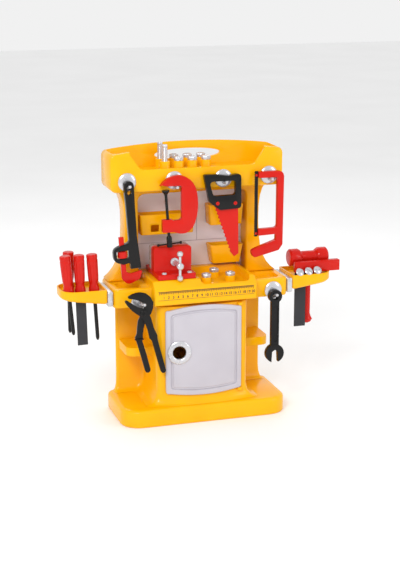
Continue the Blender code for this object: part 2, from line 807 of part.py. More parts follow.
def make_header():
    half = HEADER_WIDTH / 2
    shoulder = HEADER_FOOT + HEADER_HEIGHT
    corners = [(-half, HEADER_FOOT, 0.014), (half, HEADER_FOOT, 0.014), (half, shoulder, 0.012)]
    for share in (0.8, 0.6, 0.4, 0.2, 0.0, -0.2, -0.4, -0.6, -0.8):
        corners.append((share * half, shoulder + HEADER_ARCH * (1 - share ** 2), 0.0))
    corners.append((-half, shoulder, 0.012))
    body = add_prism(new(), rounded(corners, 4), -HEADER_FRONT, REAR, "Y")
    header = make_node("header_box", body, "yellow_plastic")
    soften(header, 0.005)
    floor = HEADER_FOOT + HEADER_FLOOR
    inside = half - HEADER_WALL
    room = box_outline(-inside, inside, -HEADER_FRONT + HEADER_WALL, REAR - HEADER_WALL, 0.012)
    cut(header, "room", add_prism(new(), room, floor, shoulder + 0.05))
    cut(header, "lip", add_prism(new(), lip_outline(shoulder), -0.05, HEADER_WALL, "Y"))
    slot = [
        (a * SLOT_WIDTH / 2, HEADER_FOOT + SLOT_RISE + b * SLOT_HEIGHT / 2)
        for a, b in circle(0.0, 0.0, 1.0, 32)
    ]
    cut(header, "hand_slot", add_prism(new(), slot, REAR - 0.02, REAR + 0.02, "Y"))
    for index, (x, y) in enumerate(cup_places()):
        radius = LONG_PIN_RADIUS if index < len(CUP_ROWS) else SHANK_RADIUS
        add_cup(header, f"cup_{index + 1}", x, y, floor, HEADER_CUP,
                radius + RUNNING, SHANK_LENGTH + 0.0015)


def lip_outline(shoulder):
    """What is cut away above the front lip, between the two ears."""
    half = HEADER_WIDTH / 2
    lip = HEADER_FOOT + HEADER_LIP
    outer = half - EAR_WIDTH
    inner = outer - EAR_RUN
    top = shoulder + 0.05
    return rounded([
        (-outer - 0.004, top, 0.0),
        (-outer, shoulder, 0.004),
        (-inner, lip, 0.014),
        (inner, lip, 0.014),
        (outer, shoulder, 0.004),
        (outer + 0.004, top, 0.0),
    ], 4)


def make_bolts():
    """The loose bolts and pins in the header's cups and the bench's well."""
    header_top = HEADER_FOOT + HEADER_FLOOR + HEADER_CUP
    for index, (x, y) in enumerate(cup_places()):
        column = index // len(CUP_ROWS)
        row = "front" if index % len(CUP_ROWS) == 0 else "back"
        if column == 0:
            make_long_pin(f"header_pin_{row}", x, y, header_top)
        else:
            make_bolt(f"header_bolt_{row}_{column}", x, y, header_top)
    for index, (x, y) in enumerate(BENCH_BOLTS):
        make_bolt(f"bench_bolt_{index + 1}", x, y, BENCH_HEIGHT + BENCH_CUP)


def make_bolt(name, x, y, seat):
    joint = make_joint(f"{name}_lift", (x, y, seat + GAP))
    rings = [
        (SHANK_RADIUS - 0.001, -SHANK_LENGTH),
        (SHANK_RADIUS, -SHANK_LENGTH + 0.001),
        (SHANK_RADIUS, 0.0),
        (HEAD_RADIUS, 0.0),
        (HEAD_RADIUS, HEAD_THICK - 0.0015),
        (HEAD_RADIUS - 0.002, HEAD_THICK),
    ]
    make_node(name, add_turned(new(), rings, 12), "silver_plastic", joint)


def make_long_pin(name, x, y, seat):
    joint = make_joint(f"{name}_lift", (x, y, seat))
    rings = [
        (LONG_PIN_RADIUS, -SHANK_LENGTH),
        (LONG_PIN_RADIUS, LONG_PIN_LENGTH - SHANK_LENGTH - 0.001),
        (LONG_PIN_RADIUS - 0.001, LONG_PIN_LENGTH - SHANK_LENGTH),
    ]
    make_node(name, add_turned(new(), rings, 12), "silver_plastic", joint)


# ---------------------------------------------------------------- hooks

def header_hooks():
    """Name, x, disc height and peg drop of the header's four hooks."""
    outer = HEADER_WIDTH / 2 - 0.0335
    middle = HEADER_FOOT + 0.0225
    return {
        "wrench": (-outer, middle, PEG_DROP),
        "clamp": (-0.051, middle - 0.001, PEG_DROP + 0.0055),
        "handsaw": (0.0525, middle - 0.002, PEG_DROP),
        "hacksaw": (outer + 0.002, middle, PEG_DROP),
    }


def bench_hooks():
    """Name, x, disc height and peg drop of the two hooks on the bench's apron."""
    middle = BENCH_HEIGHT - APRON / 2
    return {
        "pliers": (-BENCH_WIDTH / 2 + 0.053, middle - 0.010, 0.001),
        "spanner": (BENCH_WIDTH / 2 - 0.033, middle - 0.005, PEG_DROP),
    }


def make_hook(name, x, z, drop, face, length):
    """A domed disc on a front face, with a peg that rises towards its tip."""
    bm = add_turned(new(), [
        (DISC_RADIUS, 0.0),
        (DISC_RADIUS, DISC_THICK * 0.4),
        (DISC_RADIUS * 0.85, DISC_THICK * 0.8),
        (DISC_RADIUS * 0.5, DISC_THICK),
    ], 24, along((0.0, -1.0, 0.0)))
    hook = make_node(f"hook_{name}", bm, "silver_plastic")
    hook.location = (x, -face - GAP, z)
    tilt = math.radians(PEG_TILT)
    root = (0.0, -DISC_THICK * 0.3, -drop)
    peg = add_turned(new(), [
        (PEG_RADIUS, 0.0),
        (PEG_RADIUS, length - 0.001),
        (PEG_RADIUS - 0.001, length),
    ], 10, along((0.0, -math.cos(tilt), math.sin(tilt)), root))
    fuse(hook, "peg", peg)


def peg_point(x, z, drop, face, plane):
    """Where a peg's axis meets an upright plane in front of its disc."""
    root_y = -face - GAP - DISC_THICK * 0.3
    rise = (root_y - plane) * math.tan(math.radians(PEG_TILT))
    return (x, plane, z - drop + rise)


def peg_room(thick):
    """How far the top of a hanging hole stands above the peg's axis."""
    tilt = math.radians(PEG_TILT)
    return PEG_RADIUS / math.cos(tilt) + thick / 2 * math.tan(tilt) + GAP


def hang_plane(face, thick):
    return -face - GAP - DISC_THICK - HOOK_CLEAR - thick / 2


def make_hooks():
    """Makes every hook and returns the point where each tool hangs."""
    places = {}
    for name, (x, z, drop) in header_hooks().items():
        make_hook(name, x, z, drop, HEADER_FRONT, PEG_LENGTH)
        plane = hang_plane(HEADER_FRONT, TOOL_THICK)
        places[name] = peg_point(x, z, drop, HEADER_FRONT, plane)
    for name, (x, z, drop) in bench_hooks().items():
        reach = max(0.0, BLOCK_FRONT + BLOCK_BOW - BENCH_FRONT - 0.009) if name == "pliers" else 0.0
        make_hook(name, x, z, drop, BENCH_FRONT, PEG_LENGTH + reach)
        plane = hang_plane(BENCH_FRONT, TOOL_THICK) - reach
        places[name] = peg_point(x, z, drop, BENCH_FRONT, plane)
    return places


# ---------------------------------------------------------------- hanging tools

def flat(outline, half_thick, middle=0.0):
    """A flat tool part in its own frame, standing in the XZ plane."""
    return add_prism(new(), outline, middle - half_thick, middle + half_thick, "Y")


def make_pipe_wrench(at):
    joint = make_joint("wrench_pull", at, WRENCH_LEAN)
    half = TOOL_THICK / 2
    body = rounded([
        (-0.0105, 0.012, 0.009), (-0.0090, -0.030, 0.0), (-0.0085, -0.112, 0.006),
        (-0.0240, -0.115, 0.012), (-0.0430, -0.122, 0.012), (-0.0430, -0.148, 0.012),
        (-0.0240, -0.155, 0.010), (-0.0100, -0.153, 0.003), (-0.0095, -0.166, 0.0),
        (0.0115, -0.166, 0.0), (0.0080, -0.100, 0.0), (0.0090, -0.030, 0.0),
        (0.0105, 0.012, 0.009),
    ])
    wrench = make_node("pipe_wrench_handle", flat(body, half), "black_plastic", joint)
    top = peg_room(TOOL_THICK)
    slot = stroke([(0.0, top - 0.0042, 0.0042), (0.0, top - 0.0165, 0.0042)])
    cut(wrench, "hang_slot", flat(slot, 0.02))
    window = box_outline(
        WRENCH_SHANK_X - 0.0125, WRENCH_SHANK_X + 0.0125,
        WRENCH_YOKE_Z - 0.0080, WRENCH_YOKE_Z + 0.0080, 0.002)
    cut(wrench, "nut_window", flat(window, 0.02))
    way = box_outline(
        WRENCH_SHANK_X - 0.005 - RUNNING, WRENCH_SHANK_X + 0.005 + RUNNING,
        -0.003 - RUNNING, 0.003 + RUNNING)
    cut(wrench, "shank_way", add_prism(new(), way, WRENCH_YOKE_Z - 0.04, WRENCH_YOKE_Z + 0.04))
    make_wrench_jaw(joint)
    nut = [
        (0.0062, -NUT_HEIGHT / 2), (NUT_RADIUS - 0.001, -NUT_HEIGHT / 2),
        (NUT_RADIUS, -NUT_HEIGHT / 2 + 0.001), (NUT_RADIUS, NUT_HEIGHT / 2 - 0.001),
        (NUT_RADIUS - 0.001, NUT_HEIGHT / 2), (0.0062, NUT_HEIGHT / 2),
    ]
    nut_joint = make_joint("wrench_nut_turn", (WRENCH_SHANK_X, 0.0, WRENCH_YOKE_Z), 0.0, joint)
    nut_bm = add_turned(new(), nut, 16, looped=True)
    make_node("pipe_wrench_nut", nut_bm, "red_plastic", nut_joint)


def make_wrench_jaw(parent):
    left = WRENCH_SHANK_X - 0.005
    right = WRENCH_SHANK_X + 0.005
    jaw_joint = make_joint("wrench_jaw_slide", (0.0, 0.0, 0.0), 0.0, parent)
    outline = rounded([
        (left, -0.099, 0.001), (left, -0.186, 0.010), (-0.018, -0.199, 0.012),
        (0.008, -0.190, 0.010), (0.0145, -0.172, 0.002), (-0.010, -0.176, 0.004),
        (right, -0.172, 0.003), (right, -0.099, 0.001),
    ])
    make_node("pipe_wrench_jaw", flat(outline, 0.003), "red_plastic", jaw_joint)


def make_c_clamp(at):
    joint = make_joint("clamp_pull", at)
    half = TOOL_THICK / 2
    top = peg_room(TOOL_THICK)
    inner = rounded([
        (-0.034, top + 0.004, 0.002), (-0.022, top, 0.0), (0.011, top, 0.003),
        (0.0115, -0.066, 0.006), (-0.008, -0.0665, 0.0), (-0.008, -0.064, 0.0),
        (-0.029, -0.064, 0.001), (-0.029, -0.090, 0.001), (-0.006, -0.090, 0.0),
    ])
    outer = flowing([
        (0.006, -0.0935), (0.020, -0.0930), (0.034, -0.0820), (0.0425, -0.0600),
        (0.0452, -0.0350), (0.0425, -0.0090), (0.035, 0.0090), (0.021, 0.0210),
        (0.004, 0.0258), (-0.014, 0.0215), (-0.027, 0.0130),
    ], 2)
    frame = inner + outer
    clamp = make_node("clamp_frame", flat(frame, half), "red_plastic", joint)
    screw_top = Vector((-0.0215, 0.0, -0.004))
    screw_joint = make_joint("clamp_screw_slide", screw_top, CLAMP_LEAN, joint)
    way = [(CLAMP_SCREW_RADIUS + RUNNING, -0.11), (CLAMP_SCREW_RADIUS + RUNNING, -0.040)]
    lean = Matrix.Translation(screw_top) @ Matrix.Rotation(-math.radians(CLAMP_LEAN), 4, "Y")
    cut(clamp, "screw_way", add_turned(new(), way, 12, lean))
    screw = [
        (CLAMP_SCREW_RADIUS * 0.6, -0.103), (CLAMP_SCREW_RADIUS, -0.102),
        (CLAMP_SCREW_RADIUS, -0.009), (0.0042, -0.007), (0.0078, -0.002), (0.0078, 0.0),
    ]
    make_node("clamp_screw", add_turned(new(), screw, 12), "black_plastic", screw_joint)
    make_clamp_handle(screw_joint)


def make_clamp_handle(parent):
    """The hub that grips the screw's foot, and the bar across it."""
    joint = make_joint("clamp_handle_turn", (0.0, 0.0, 0.0), 0.0, parent)
    bore = CLAMP_SCREW_RADIUS + GAP
    hub = [
        (bore, -0.0945), (CLAMP_HUB_RADIUS - 0.002, -0.0945), (CLAMP_HUB_RADIUS, -0.098),
        (CLAMP_HUB_RADIUS, -0.117), (CLAMP_HUB_RADIUS - 0.001, -0.118), (0.0006, -0.118),
        (0.0006, -0.1035), (bore, -0.1035),
    ]
    handle = make_node(
        "clamp_handle", add_turned(new(), list(reversed(hub)), 12, looped=True),
        "black_plastic", joint)
    bar = [
        (0.0010, -0.0265), (0.0030, -0.0255), (0.0030, -0.0225), (0.0016, -0.021),
        (0.0016, 0.021), (0.0030, 0.0225), (0.0030, 0.0255), (0.0010, 0.0265),
    ]
    fuse(handle, "bar", add_turned(new(), bar, 10, along((1.0, 0.0, 0.0), (0.0, 0.0, -0.111))))


def make_handsaw(at):
    joint = make_joint("handsaw_pull", at)
    top = peg_room(TOOL_THICK)
    outline = rounded([
        (-0.046, 0.019, 0.004), (-0.020, 0.0185, 0.0), (0.006, 0.0145, 0.0),
        (0.024, 0.0175, 0.0), (0.0335, 0.0165, 0.006), (0.0340, -0.053, 0.006),
        (-0.011, -0.055, 0.004), (-0.034, -0.038, 0.008),
    ])
    handle = make_node(
        "handsaw_handle", flat(outline, TOOL_THICK / 2), "black_plastic", joint)
    grip = rounded([
        (-0.034, top, 0.006), (0.022, top, 0.005), (0.022, -0.025, 0.005), (-0.026, -0.026, 0.008),
    ])
    cut(handle, "grip", flat(grip, 0.02))
    slot = box_outline(-0.030, 0.029, -0.08, -0.040)
    cut(handle, "blade_slot", flat(slot, 0.0015 + GAP))
    teeth = 22
    foot_x, foot_z = 0.012, -0.147
    head_x, head_z = -0.026, -0.0475
    blade = [(-0.026, -0.0403), (head_x, head_z)]
    for tooth in range(teeth):
        share = (tooth + 0.5) / teeth
        x = head_x + (foot_x - head_x) * share
        z = head_z + (foot_z - head_z) * share
        blade.append((x - 0.0006, z + 0.0013))
        blade.append((x + 0.0009, z - 0.0013))
    blade += rounded([
        (foot_x, foot_z, 0.0), (0.018, -0.155, 0.004), (0.030, -0.153, 0.005),
        (0.0285, -0.0403, 0.0),
    ], 2)
    make_node("handsaw_blade", flat(blade, 0.0015), "red_plastic", joint)


def make_hacksaw(at):
    joint = make_joint("hacksaw_pull", at)
    top = peg_room(TOOL_THICK)
    frame = rounded([
        (-0.0270, top, 0.001), (0.014, top, 0.004), (0.0140, -0.101, 0.006),
        (-0.0270, -0.102, 0.001), (-0.0270, -0.116, 0.001), (0.0115, -0.1145, 0.003),
        (0.0115, -0.127, 0.003), (-0.030, -0.141, 0.003), (-0.043, -0.147, 0.006),
        (-0.037, -0.162, 0.006), (0.018, -0.149, 0.006), (0.0265, -0.137, 0.006),
        (0.0280, top + 0.013, 0.011), (-0.0270, top + 0.013, 0.001),
    ])
    make_node("hacksaw_frame", flat(frame, TOOL_THICK / 2), "red_plastic", joint)
    right = -0.0270 - GAP
    left = right - 0.0075
    low, high = -0.118, top + 0.014
    teeth = 28
    pitch = (high - low) / teeth
    blade = [(right, low), (right, high)]
    for tooth in range(teeth):
        z = high - tooth * pitch
        blade.append((left + 0.0012, z))
        blade.append((left, z - 0.7 * pitch))
    blade.append((left + 0.0012, low))
    make_node("hacksaw_blade", flat(blade, 0.0013), "black_plastic", joint)


def make_pliers(at):
    joint = make_joint("pliers_pull", at)
    half = 0.0025
    layer = half + RUNNING / 2
    room = peg_room(TOOL_THICK)
    upper = flowing([
        (-0.027, room + 0.012, 0.0032), (-0.014, room + 0.013, 0.0070),
        (0.002, room + 0.0095, 0.0095), (0.0135, 0.001, 0.0085), (0.009, -0.016, 0.0090),
        (-0.003, -0.036, 0.0075), (-0.007, -0.062, 0.0062), (-0.0085, -0.070, 0.0085),
        (-0.008, -0.076, 0.0060), (0.001, -0.108, 0.0060), (0.009, -0.139, 0.0058),
    ], 2)
    back = make_node("pliers_back_half", flat(stroke(upper), half, layer), "black_plastic", joint)
    pivot = Vector((-0.001, 0.0, -0.017))
    pin = [(0.0030, -half), (0.0030, 2 * layer + half + 0.0004), (0.0018, 2 * layer + half + 0.001)]
    forward = along((0.0, -1.0, 0.0), pivot + Vector((0.0, layer, 0.0)))
    fuse(back, "pivot_pin", add_turned(new(), pin, 12, forward))
    turn = make_joint("pliers_pivot", pivot, 0.0, joint)
    lower = flowing([
        (-0.034, 0.026, 0.0030), (-0.023, 0.015, 0.0055), (-0.011, 0.006, 0.0070),
        (0.000, 0.000, 0.0090), (0.009, -0.014, 0.0080), (0.0155, -0.034, 0.0066),
        (0.0210, -0.051, 0.0085), (0.0235, -0.058, 0.0060), (0.0325, -0.092, 0.0058),
        (0.0410, -0.124, 0.0055),
    ], 2)
    front = make_node(
        "pliers_front_half", flat(stroke(lower), half, -layer), "black_plastic", turn)
    hole = [(0.0030 + RUNNING, -0.02), (0.0030 + RUNNING, 0.02)]
    cut(front, "pivot_hole", add_turned(new(), hole, 12, along((0.0, -1.0, 0.0))))


def make_spanner(at):
    joint = make_joint("spanner_pull", at)
    hole = 0.0080
    ring_z = peg_room(TOOL_THICK) - hole * math.cos(math.radians(30))
    end_z = ring_z - 0.1235
    spanner = make_node(
        "spanner", flat(circle(0.0, ring_z, 0.0142, 20), TOOL_THICK / 2), "black_plastic", joint)
    shaft = box_outline(-0.0085, 0.0085, end_z + 0.010, ring_z - 0.0095)
    fuse(spanner, "shaft", flat(shaft, TOOL_THICK / 2 - 0.001))
    fuse(spanner, "open_end", flat(circle(0.0, end_z, 0.0200, 24), TOOL_THICK / 2 - 0.0005))
    channel = box_outline(-0.0050, 0.0050, end_z + 0.026, ring_z - 0.020, 0.003, 2)
    for side in (-1, 1):
        centre = side * (TOOL_THICK / 2 - 0.001 + SPANNER_CHANNEL)
        cut(spanner, f"channel{side}", flat(channel, 2 * SPANNER_CHANNEL, centre))
    hexagon = [
        (hole * math.cos(math.radians(60 * step)), ring_z + hole * math.sin(math.radians(60 * step)))
        for step in range(6)
    ]
    cut(spanner, "ring_hole", flat(hexagon, 0.02))
    mouth = [
        (-0.0080, end_z - 0.030), (0.0080, end_z - 0.030), (0.0062, end_z + 0.004),
        (0.0, end_z + 0.008), (-0.0062, end_z + 0.004),
    ]
    cut(spanner, "mouth", flat(mouth, 0.02))


# ---------------------------------------------------------------- vise

def make_vise():
    left = VISE_LEFT
    right = VISE_LEFT + VISE_WIDTH
    seat = PLATFORM + GAP
    top = seat + VISE_FLANGE
    flange = box_outline(left, right, -VISE_FRONT, VISE_REACH - VISE_FRONT, 0.004, 2)
    body = make_node("vise_body", add_prism(new(), flange, seat, top), "red_plastic")
    block = rounded([
        (left, top - 0.004, 0.0), (right, top - 0.004, 0.0),
        (right, top + VISE_HEIGHT, 0.006), (left, top + VISE_HEIGHT, 0.006),
    ])
    back = VISE_BLOCK_Y + VISE_BLOCK_THICK
    fuse(body, "block", add_prism(new(), block, VISE_BLOCK_Y, back, "Y"))
    screw_x = left + VISE_SCREW_X
    screw_z = top + VISE_SCREW_RISE
    hole = circle(screw_x, screw_z, VISE_SCREW_RADIUS + RUNNING, 16)
    cut(body, "screw_hole", add_prism(new(), hole, VISE_BLOCK_Y - 0.01, back + 0.01, "Y"))
    make_vise_jaw(left, right, top, back, hole)
    make_vise_screw(screw_x, screw_z)


def make_vise_jaw(left, right, top, back, hole):
    joint = make_joint("vise_jaw_slide", (0.0, 0.0, 0.0))
    outline = rounded([
        (left, top + GAP, 0.001), (right, top + GAP, 0.001),
        (right, top + VISE_HEIGHT, 0.005), (left, top + VISE_HEIGHT, 0.005),
    ])
    front = back + GAP
    jaw = add_prism(new(), outline, front, front + VISE_JAW_THICK, "Y")
    node = make_node("vise_jaw", jaw, "silver_plastic", joint)
    cut(node, "screw_way", add_prism(new(), hole, front - 0.01, front + VISE_JAW_THICK + 0.01, "Y"))


def make_vise_screw(x, z):
    """The screw along Y, its collar in front of the block, and the bar through its head."""
    joint = make_joint("vise_screw_turn", (x, VISE_HANDLE_Y, z))
    start = VISE_BLOCK_Y - VISE_HANDLE_Y
    jaw_back = VISE_BLOCK_THICK + VISE_JAW_THICK
    profile = [
        (0.0045, -0.0065), (0.0070, -0.0045), (0.0070, 0.0045), (VISE_SCREW_RADIUS, 0.007),
        (VISE_SCREW_RADIUS, start - 0.005), (0.0085, start - 0.005), (0.0085, start - GAP),
        (VISE_SCREW_RADIUS, start - GAP), (VISE_SCREW_RADIUS, start + jaw_back + 0.018),
        (VISE_SCREW_RADIUS - 0.001, start + jaw_back + 0.019),
    ]
    screw = make_node(
        "vise_screw", add_turned(new(), profile, 16, along((0.0, 1.0, 0.0))),
        "silver_plastic", joint)
    tip = VISE_HANDLE_HALF
    bar = [
        (0.0035, -tip - 0.0055), (0.0062, -tip - 0.0025), (0.0062, -tip + 0.0025),
        (0.0028, -tip + 0.0055), (0.0028, tip - 0.0055), (0.0062, tip - 0.0025),
        (0.0062, tip + 0.0025), (0.0035, tip + 0.0055),
    ]
    fuse(screw, "bar", add_turned(new(), bar, 12))


# ---------------------------------------------------------------- side trays

def make_brackets_and_trays():
    for side, name in ((-1, "left"), (1, "right")):
        make_bracket(side, name)
        make_tray(side, name)


def make_bracket(side, name):
    inner = side * (BENCH_WIDTH / 2 + GAP)
    outer = inner + side * BRACKET_WIDTH
    low, high = sorted((inner, outer))
    y_low = TRAY_MIDDLE - BRACKET_DEPTH / 2
    outline = box_outline(low, high, y_low, y_low + BRACKET_DEPTH, 0.003, 2)
    foot = BENCH_HEIGHT - 0.004 - BRACKET_HEIGHT
    bracket = make_node(
        f"bracket_{name}", add_prism(new(), outline, foot, foot + BRACKET_HEIGHT), "silver_plastic")
    soften(bracket, 0.002)


def make_tray(side, name):
    inner = side * TRAY_INNER
    outer = inner + side * TRAY_LENGTH
    y_low = TRAY_MIDDLE - BRACKET_DEPTH / 2
    y_high = y_low + BRACKET_DEPTH

    def corners(inset):
        return rounded([
            (inner + side * inset, y_low + inset, 0.004),
            (outer - side * inset, y_low + inset, TRAY_CORNER - inset),
            (outer - side * inset, y_high - inset, TRAY_CORNER - inset),
            (inner + side * inset, y_high - inset, 0.004),
        ], 5)

    def foot(x, shrink):
        share = (x - inner) / (outer - inner)
        drop = TRAY_INNER_DROP + (TRAY_OUTER_DROP - TRAY_INNER_DROP) * share
        return TRAY_TOP - drop + shrink

    wall = corners(0.0)
    rings = [
        [(x, y, foot(x, 0.0)) for x, y in corners(0.003)],
        [(x, y, foot(x, 0.003)) for x, y in wall],
        [(x, y, TRAY_TOP) for x, y in wall],
    ]
    tray = make_node(f"tray_{name}", add_loft(new(), rings), "yellow_plastic")
    cut(tray, "pocket", add_prism(new(), corners(TRAY_RIM), DECK, TRAY_TOP + 0.01))
    holes = left_tray_holes() if side < 0 else right_tray_holes()
    for hole_name, outline in holes.items():
        cut(tray, hole_name, add_prism(new(), outline, DECK - 0.05, DECK + 0.01))


def driver_places():
    """Each driver: x and y of its seat, lean, blade half width, blade length and shape."""
    turn = math.radians(DRIVER_CORNER_TURN)
    nut = -TRAY_INNER - TRAY_LENGTH + TRAY_CORNER - DRIVER_REACH * math.cos(turn)
    front = TRAY_MIDDLE - BRACKET_DEPTH / 2 + TRAY_CORNER - DRIVER_REACH * math.sin(turn)
    back = front + 2 * HANDLE_RADIUS + DRIVER_ROW_SPACE
    chisel = nut + DRIVER_PITCH
    screwdriver = chisel + DRIVER_PITCH + DRIVER_SWING
    return {
        "nut_driver": (nut, front, NUT_DRIVER_LEAN, ROD_RADIUS, 0.088, "round"),
        "awl": (chisel - AWL_SHIFT, back, 0.0, ROD_RADIUS, 0.092, "round"),
        "chisel": (chisel, front, CHISEL_LEAN, 0.0105, 0.110, "flat"),
        "screwdriver": (screwdriver, front, SCREWDRIVER_LEAN, ROD_RADIUS, 0.102, "round"),
    }


def left_tray_holes():
    holes = {}
    depth = TRAY_INNER_DROP + 0.002
    across = CHISEL_HALF + BLADE_ROOM
    for name, (x, y, lean, half, _, shape) in driver_places().items():
        shift = depth * math.tan(math.radians(lean))
        reach = half + BLADE_ROOM
        if shape == "flat":
            holes[name] = box_outline(x - reach, x + reach + shift, y - across, y + across)
        elif shift:
            holes[name] = stroke([(x - 0.001, y, reach), (x + shift, y, reach)])
        else:
            holes[name] = circle(x, y, reach, 12)
    return holes


def hammer_place():
    return (TRAY_INNER + 0.0520, TRAY_MIDDLE + 0.0090)


def square_place():
    return (TRAY_INNER + 0.0125, TRAY_MIDDLE - 0.0185)


def right_tray_holes():
    hammer_x, hammer_y = hammer_place()
    square_x, square_y = square_place()
    half = SQUARE_BLADE[0] / 2 + 0.0008
    return {
        "hammer": circle(hammer_x, hammer_y, HAMMER_KNOB + 0.0012, 20),
        "square": box_outline(
            square_x, square_x + 2 * half, square_y - 0.0023, square_y + 0.0023),
    }


# ---------------------------------------------------------------- tray tools

def make_driver(name, place):
    x, y, lean, half, length, shape = place
    joint = make_joint(f"{name}_lift", (x, y, DECK + 2 * GAP + 0.0006), lean)
    radius = HANDLE_RADIUS
    profile = [
        (radius * 0.80, 0.0), (radius, 0.003), (radius * 0.92, 0.012), (radius * 0.80, 0.018),
        (radius * 0.88, 0.026), (radius * 0.98, 0.050), (radius, HANDLE_LENGTH - 0.002),
        (radius * 0.85, HANDLE_LENGTH),
    ]
    handle = make_node(
        f"{name}_handle", add_turned(new(), profile, 14), "red_plastic", joint)
    depth = SOCKET_DEPTH
    if shape == "flat":
        thick = CHISEL_HALF + GAP
        slot = box_outline(-half * 0.6 - GAP, half * 0.6 + GAP, -thick, thick)
        blade = rounded([
            (-half * 0.6, depth - GAP, 0.0), (-half * 0.6, -0.0008, 0.0), (-half, -0.0012, 0.0),
            (-half, -length, 0.0), (half, -length, 0.0), (half, -0.0012, 0.0),
            (half * 0.6, -0.0008, 0.0), (half * 0.6, depth - GAP, 0.0),
        ])
        bm = flat(blade, CHISEL_HALF)
        look = "grey_plastic"
    else:
        slot = circle(0.0, 0.0, half + GAP, 10)
        tip = [(half * 0.45, -length), (half * 0.9, -length + 0.004), (half, -length + 0.008)]
        bm = add_turned(new(), tip + [(half, depth - GAP)], 10)
        look = "black_plastic"
    cut(handle, "socket", add_prism(new(), slot, -0.01, depth))
    make_node(f"{name}_blade", bm, look, joint)


def make_hammer():
    x, y = hammer_place()
    joint = make_joint("hammer_lift", (x, y, DECK + GAP))
    centre = 0.034
    half = HAMMER_HEAD / 2
    drum = DRUM_RADIUS
    profile = [
        (drum - 0.003, -half), (drum, -half + 0.003), (drum, -half + 0.020),
        (drum - 0.003, -half + 0.025), (0.0125, -half + 0.028), (0.0125, half - 0.028),
        (drum - 0.003, half - 0.025), (drum, half - 0.020), (drum, half - 0.003),
        (drum - 0.003, half),
    ]
    head_matrix = along((1.0, 0.0, 0.0), (0.0, 0.0, centre))
    head = make_node("hammer_head", add_turned(new(), profile, 20, head_matrix), "red_plastic", joint)
    collar = [(0.0165, 0.0), (0.0165, 0.004), (0.0125, 0.010), (0.0120, centre)]
    fuse(head, "collar", add_turned(new(), collar, 16))
    bore = HAMMER_GRIP + GAP
    cut(head, "bore", add_turned(new(), [(bore, -0.01), (bore, centre)], 16))
    grip = HAMMER_GRIP
    foot = -HAMMER_LENGTH
    handle = [
        (0.004, foot), (HAMMER_KNOB * 0.75, foot + 0.003), (HAMMER_KNOB, foot + 0.009),
        (HAMMER_KNOB * 0.75, foot + 0.015), (grip * 0.95, foot + 0.022), (grip, foot + 0.040),
        (grip, centre - GAP),
    ]
    make_node("hammer_handle", add_turned(new(), handle, 14), "red_plastic", joint)


def make_try_square():
    """A thick stock that rests on the tray's rim, and a thin blade through the deck."""
    x, y = square_place()
    joint = make_joint("try_square_lift", (x, y, TRAY_TOP + GAP))
    width, length = SQUARE_BLADE
    stock = box_outline(0.0, STOCK_LENGTH, 0.0, STOCK_HEIGHT, 0.001, 1)
    node = make_node("try_square_stock", flat(stock, STOCK_THICK / 2), "red_plastic", joint)
    socket = box_outline(0.0008 - GAP, 0.0008 + width + GAP, -0.01, 0.014 + GAP)
    cut(node, "socket", flat(socket, 0.0013 + GAP))
    blade = box_outline(0.0008, 0.0008 + width, -length, 0.014)
    make_node("try_square_blade", flat(blade, 0.0013), "grey_plastic", joint)


# ---------------------------------------------------------------- the whole bench

def main():
    clear_scene()
    make_plinth()
    make_cabinet()
    make_door()
    make_worktop()
    make_upper_frame()
    make_backing_panel()
    make_bins()
    make_header()
    make_bolts()
    places = make_hooks()
    make_pipe_wrench(places["wrench"])
    make_c_clamp(places["clamp"])
    make_handsaw(places["handsaw"])
    make_hacksaw(places["hacksaw"])
    make_pliers(places["pliers"])
    make_spanner(places["spanner"])
    make_vise()
    make_brackets_and_trays()
    for name, place in driver_places().items():
        make_driver(name, place)
    make_hammer()
    make_try_square()


main()
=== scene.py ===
"""The looks of the toy workbench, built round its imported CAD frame."""

import json
import math

import bmesh
import bpy
from mathutils import Matrix, Vector


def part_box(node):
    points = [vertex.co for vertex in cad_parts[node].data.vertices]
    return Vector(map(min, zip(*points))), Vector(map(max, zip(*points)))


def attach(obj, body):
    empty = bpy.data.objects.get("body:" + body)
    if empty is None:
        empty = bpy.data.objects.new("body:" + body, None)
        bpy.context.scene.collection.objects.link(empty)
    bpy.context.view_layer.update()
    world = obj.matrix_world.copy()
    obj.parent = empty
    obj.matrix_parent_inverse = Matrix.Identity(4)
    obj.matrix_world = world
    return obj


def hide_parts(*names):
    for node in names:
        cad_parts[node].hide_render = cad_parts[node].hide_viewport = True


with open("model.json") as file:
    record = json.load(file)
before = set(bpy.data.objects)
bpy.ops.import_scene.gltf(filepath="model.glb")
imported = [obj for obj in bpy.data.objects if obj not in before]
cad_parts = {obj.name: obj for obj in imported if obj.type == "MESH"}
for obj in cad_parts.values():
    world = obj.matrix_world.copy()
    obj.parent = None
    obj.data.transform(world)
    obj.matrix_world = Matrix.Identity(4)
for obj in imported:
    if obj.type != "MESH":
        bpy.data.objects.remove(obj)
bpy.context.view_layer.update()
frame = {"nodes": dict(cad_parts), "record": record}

ROOT = "bench"
SKIN = 0.0002           # how far printed and moulded marks stand off a surface

# Ruler, in metres
RULER_START = -0.100
RULER_DROP = 0.0185     # from the top of the bench down to the line over the marks
RULER_MARKS = 201
NUMBER_SIZE = 0.0080
NUMBER_DROP = 0.0085

# Door, in metres
DOOR_THICK = 0.005
DOOR_ARCH_TOP = 0.009
DOOR_ARCH_FOOT = 0.005
GROOVE_INSET = 0.0110
GROOVE_CORNER = 0.0045
RING_HOLE = 0.0152

# Driver handles, in metres
GRIP_RADIUS = 0.0112
GRIP_LENGTH = 0.078
FLUTES_FROM = 0.0205
FLUTES_TO = 0.0668
FLUTE_COUNT = 8

# Bolts, in metres
SHANK_RADIUS = 0.0045
SHANK_LENGTH = 0.0095

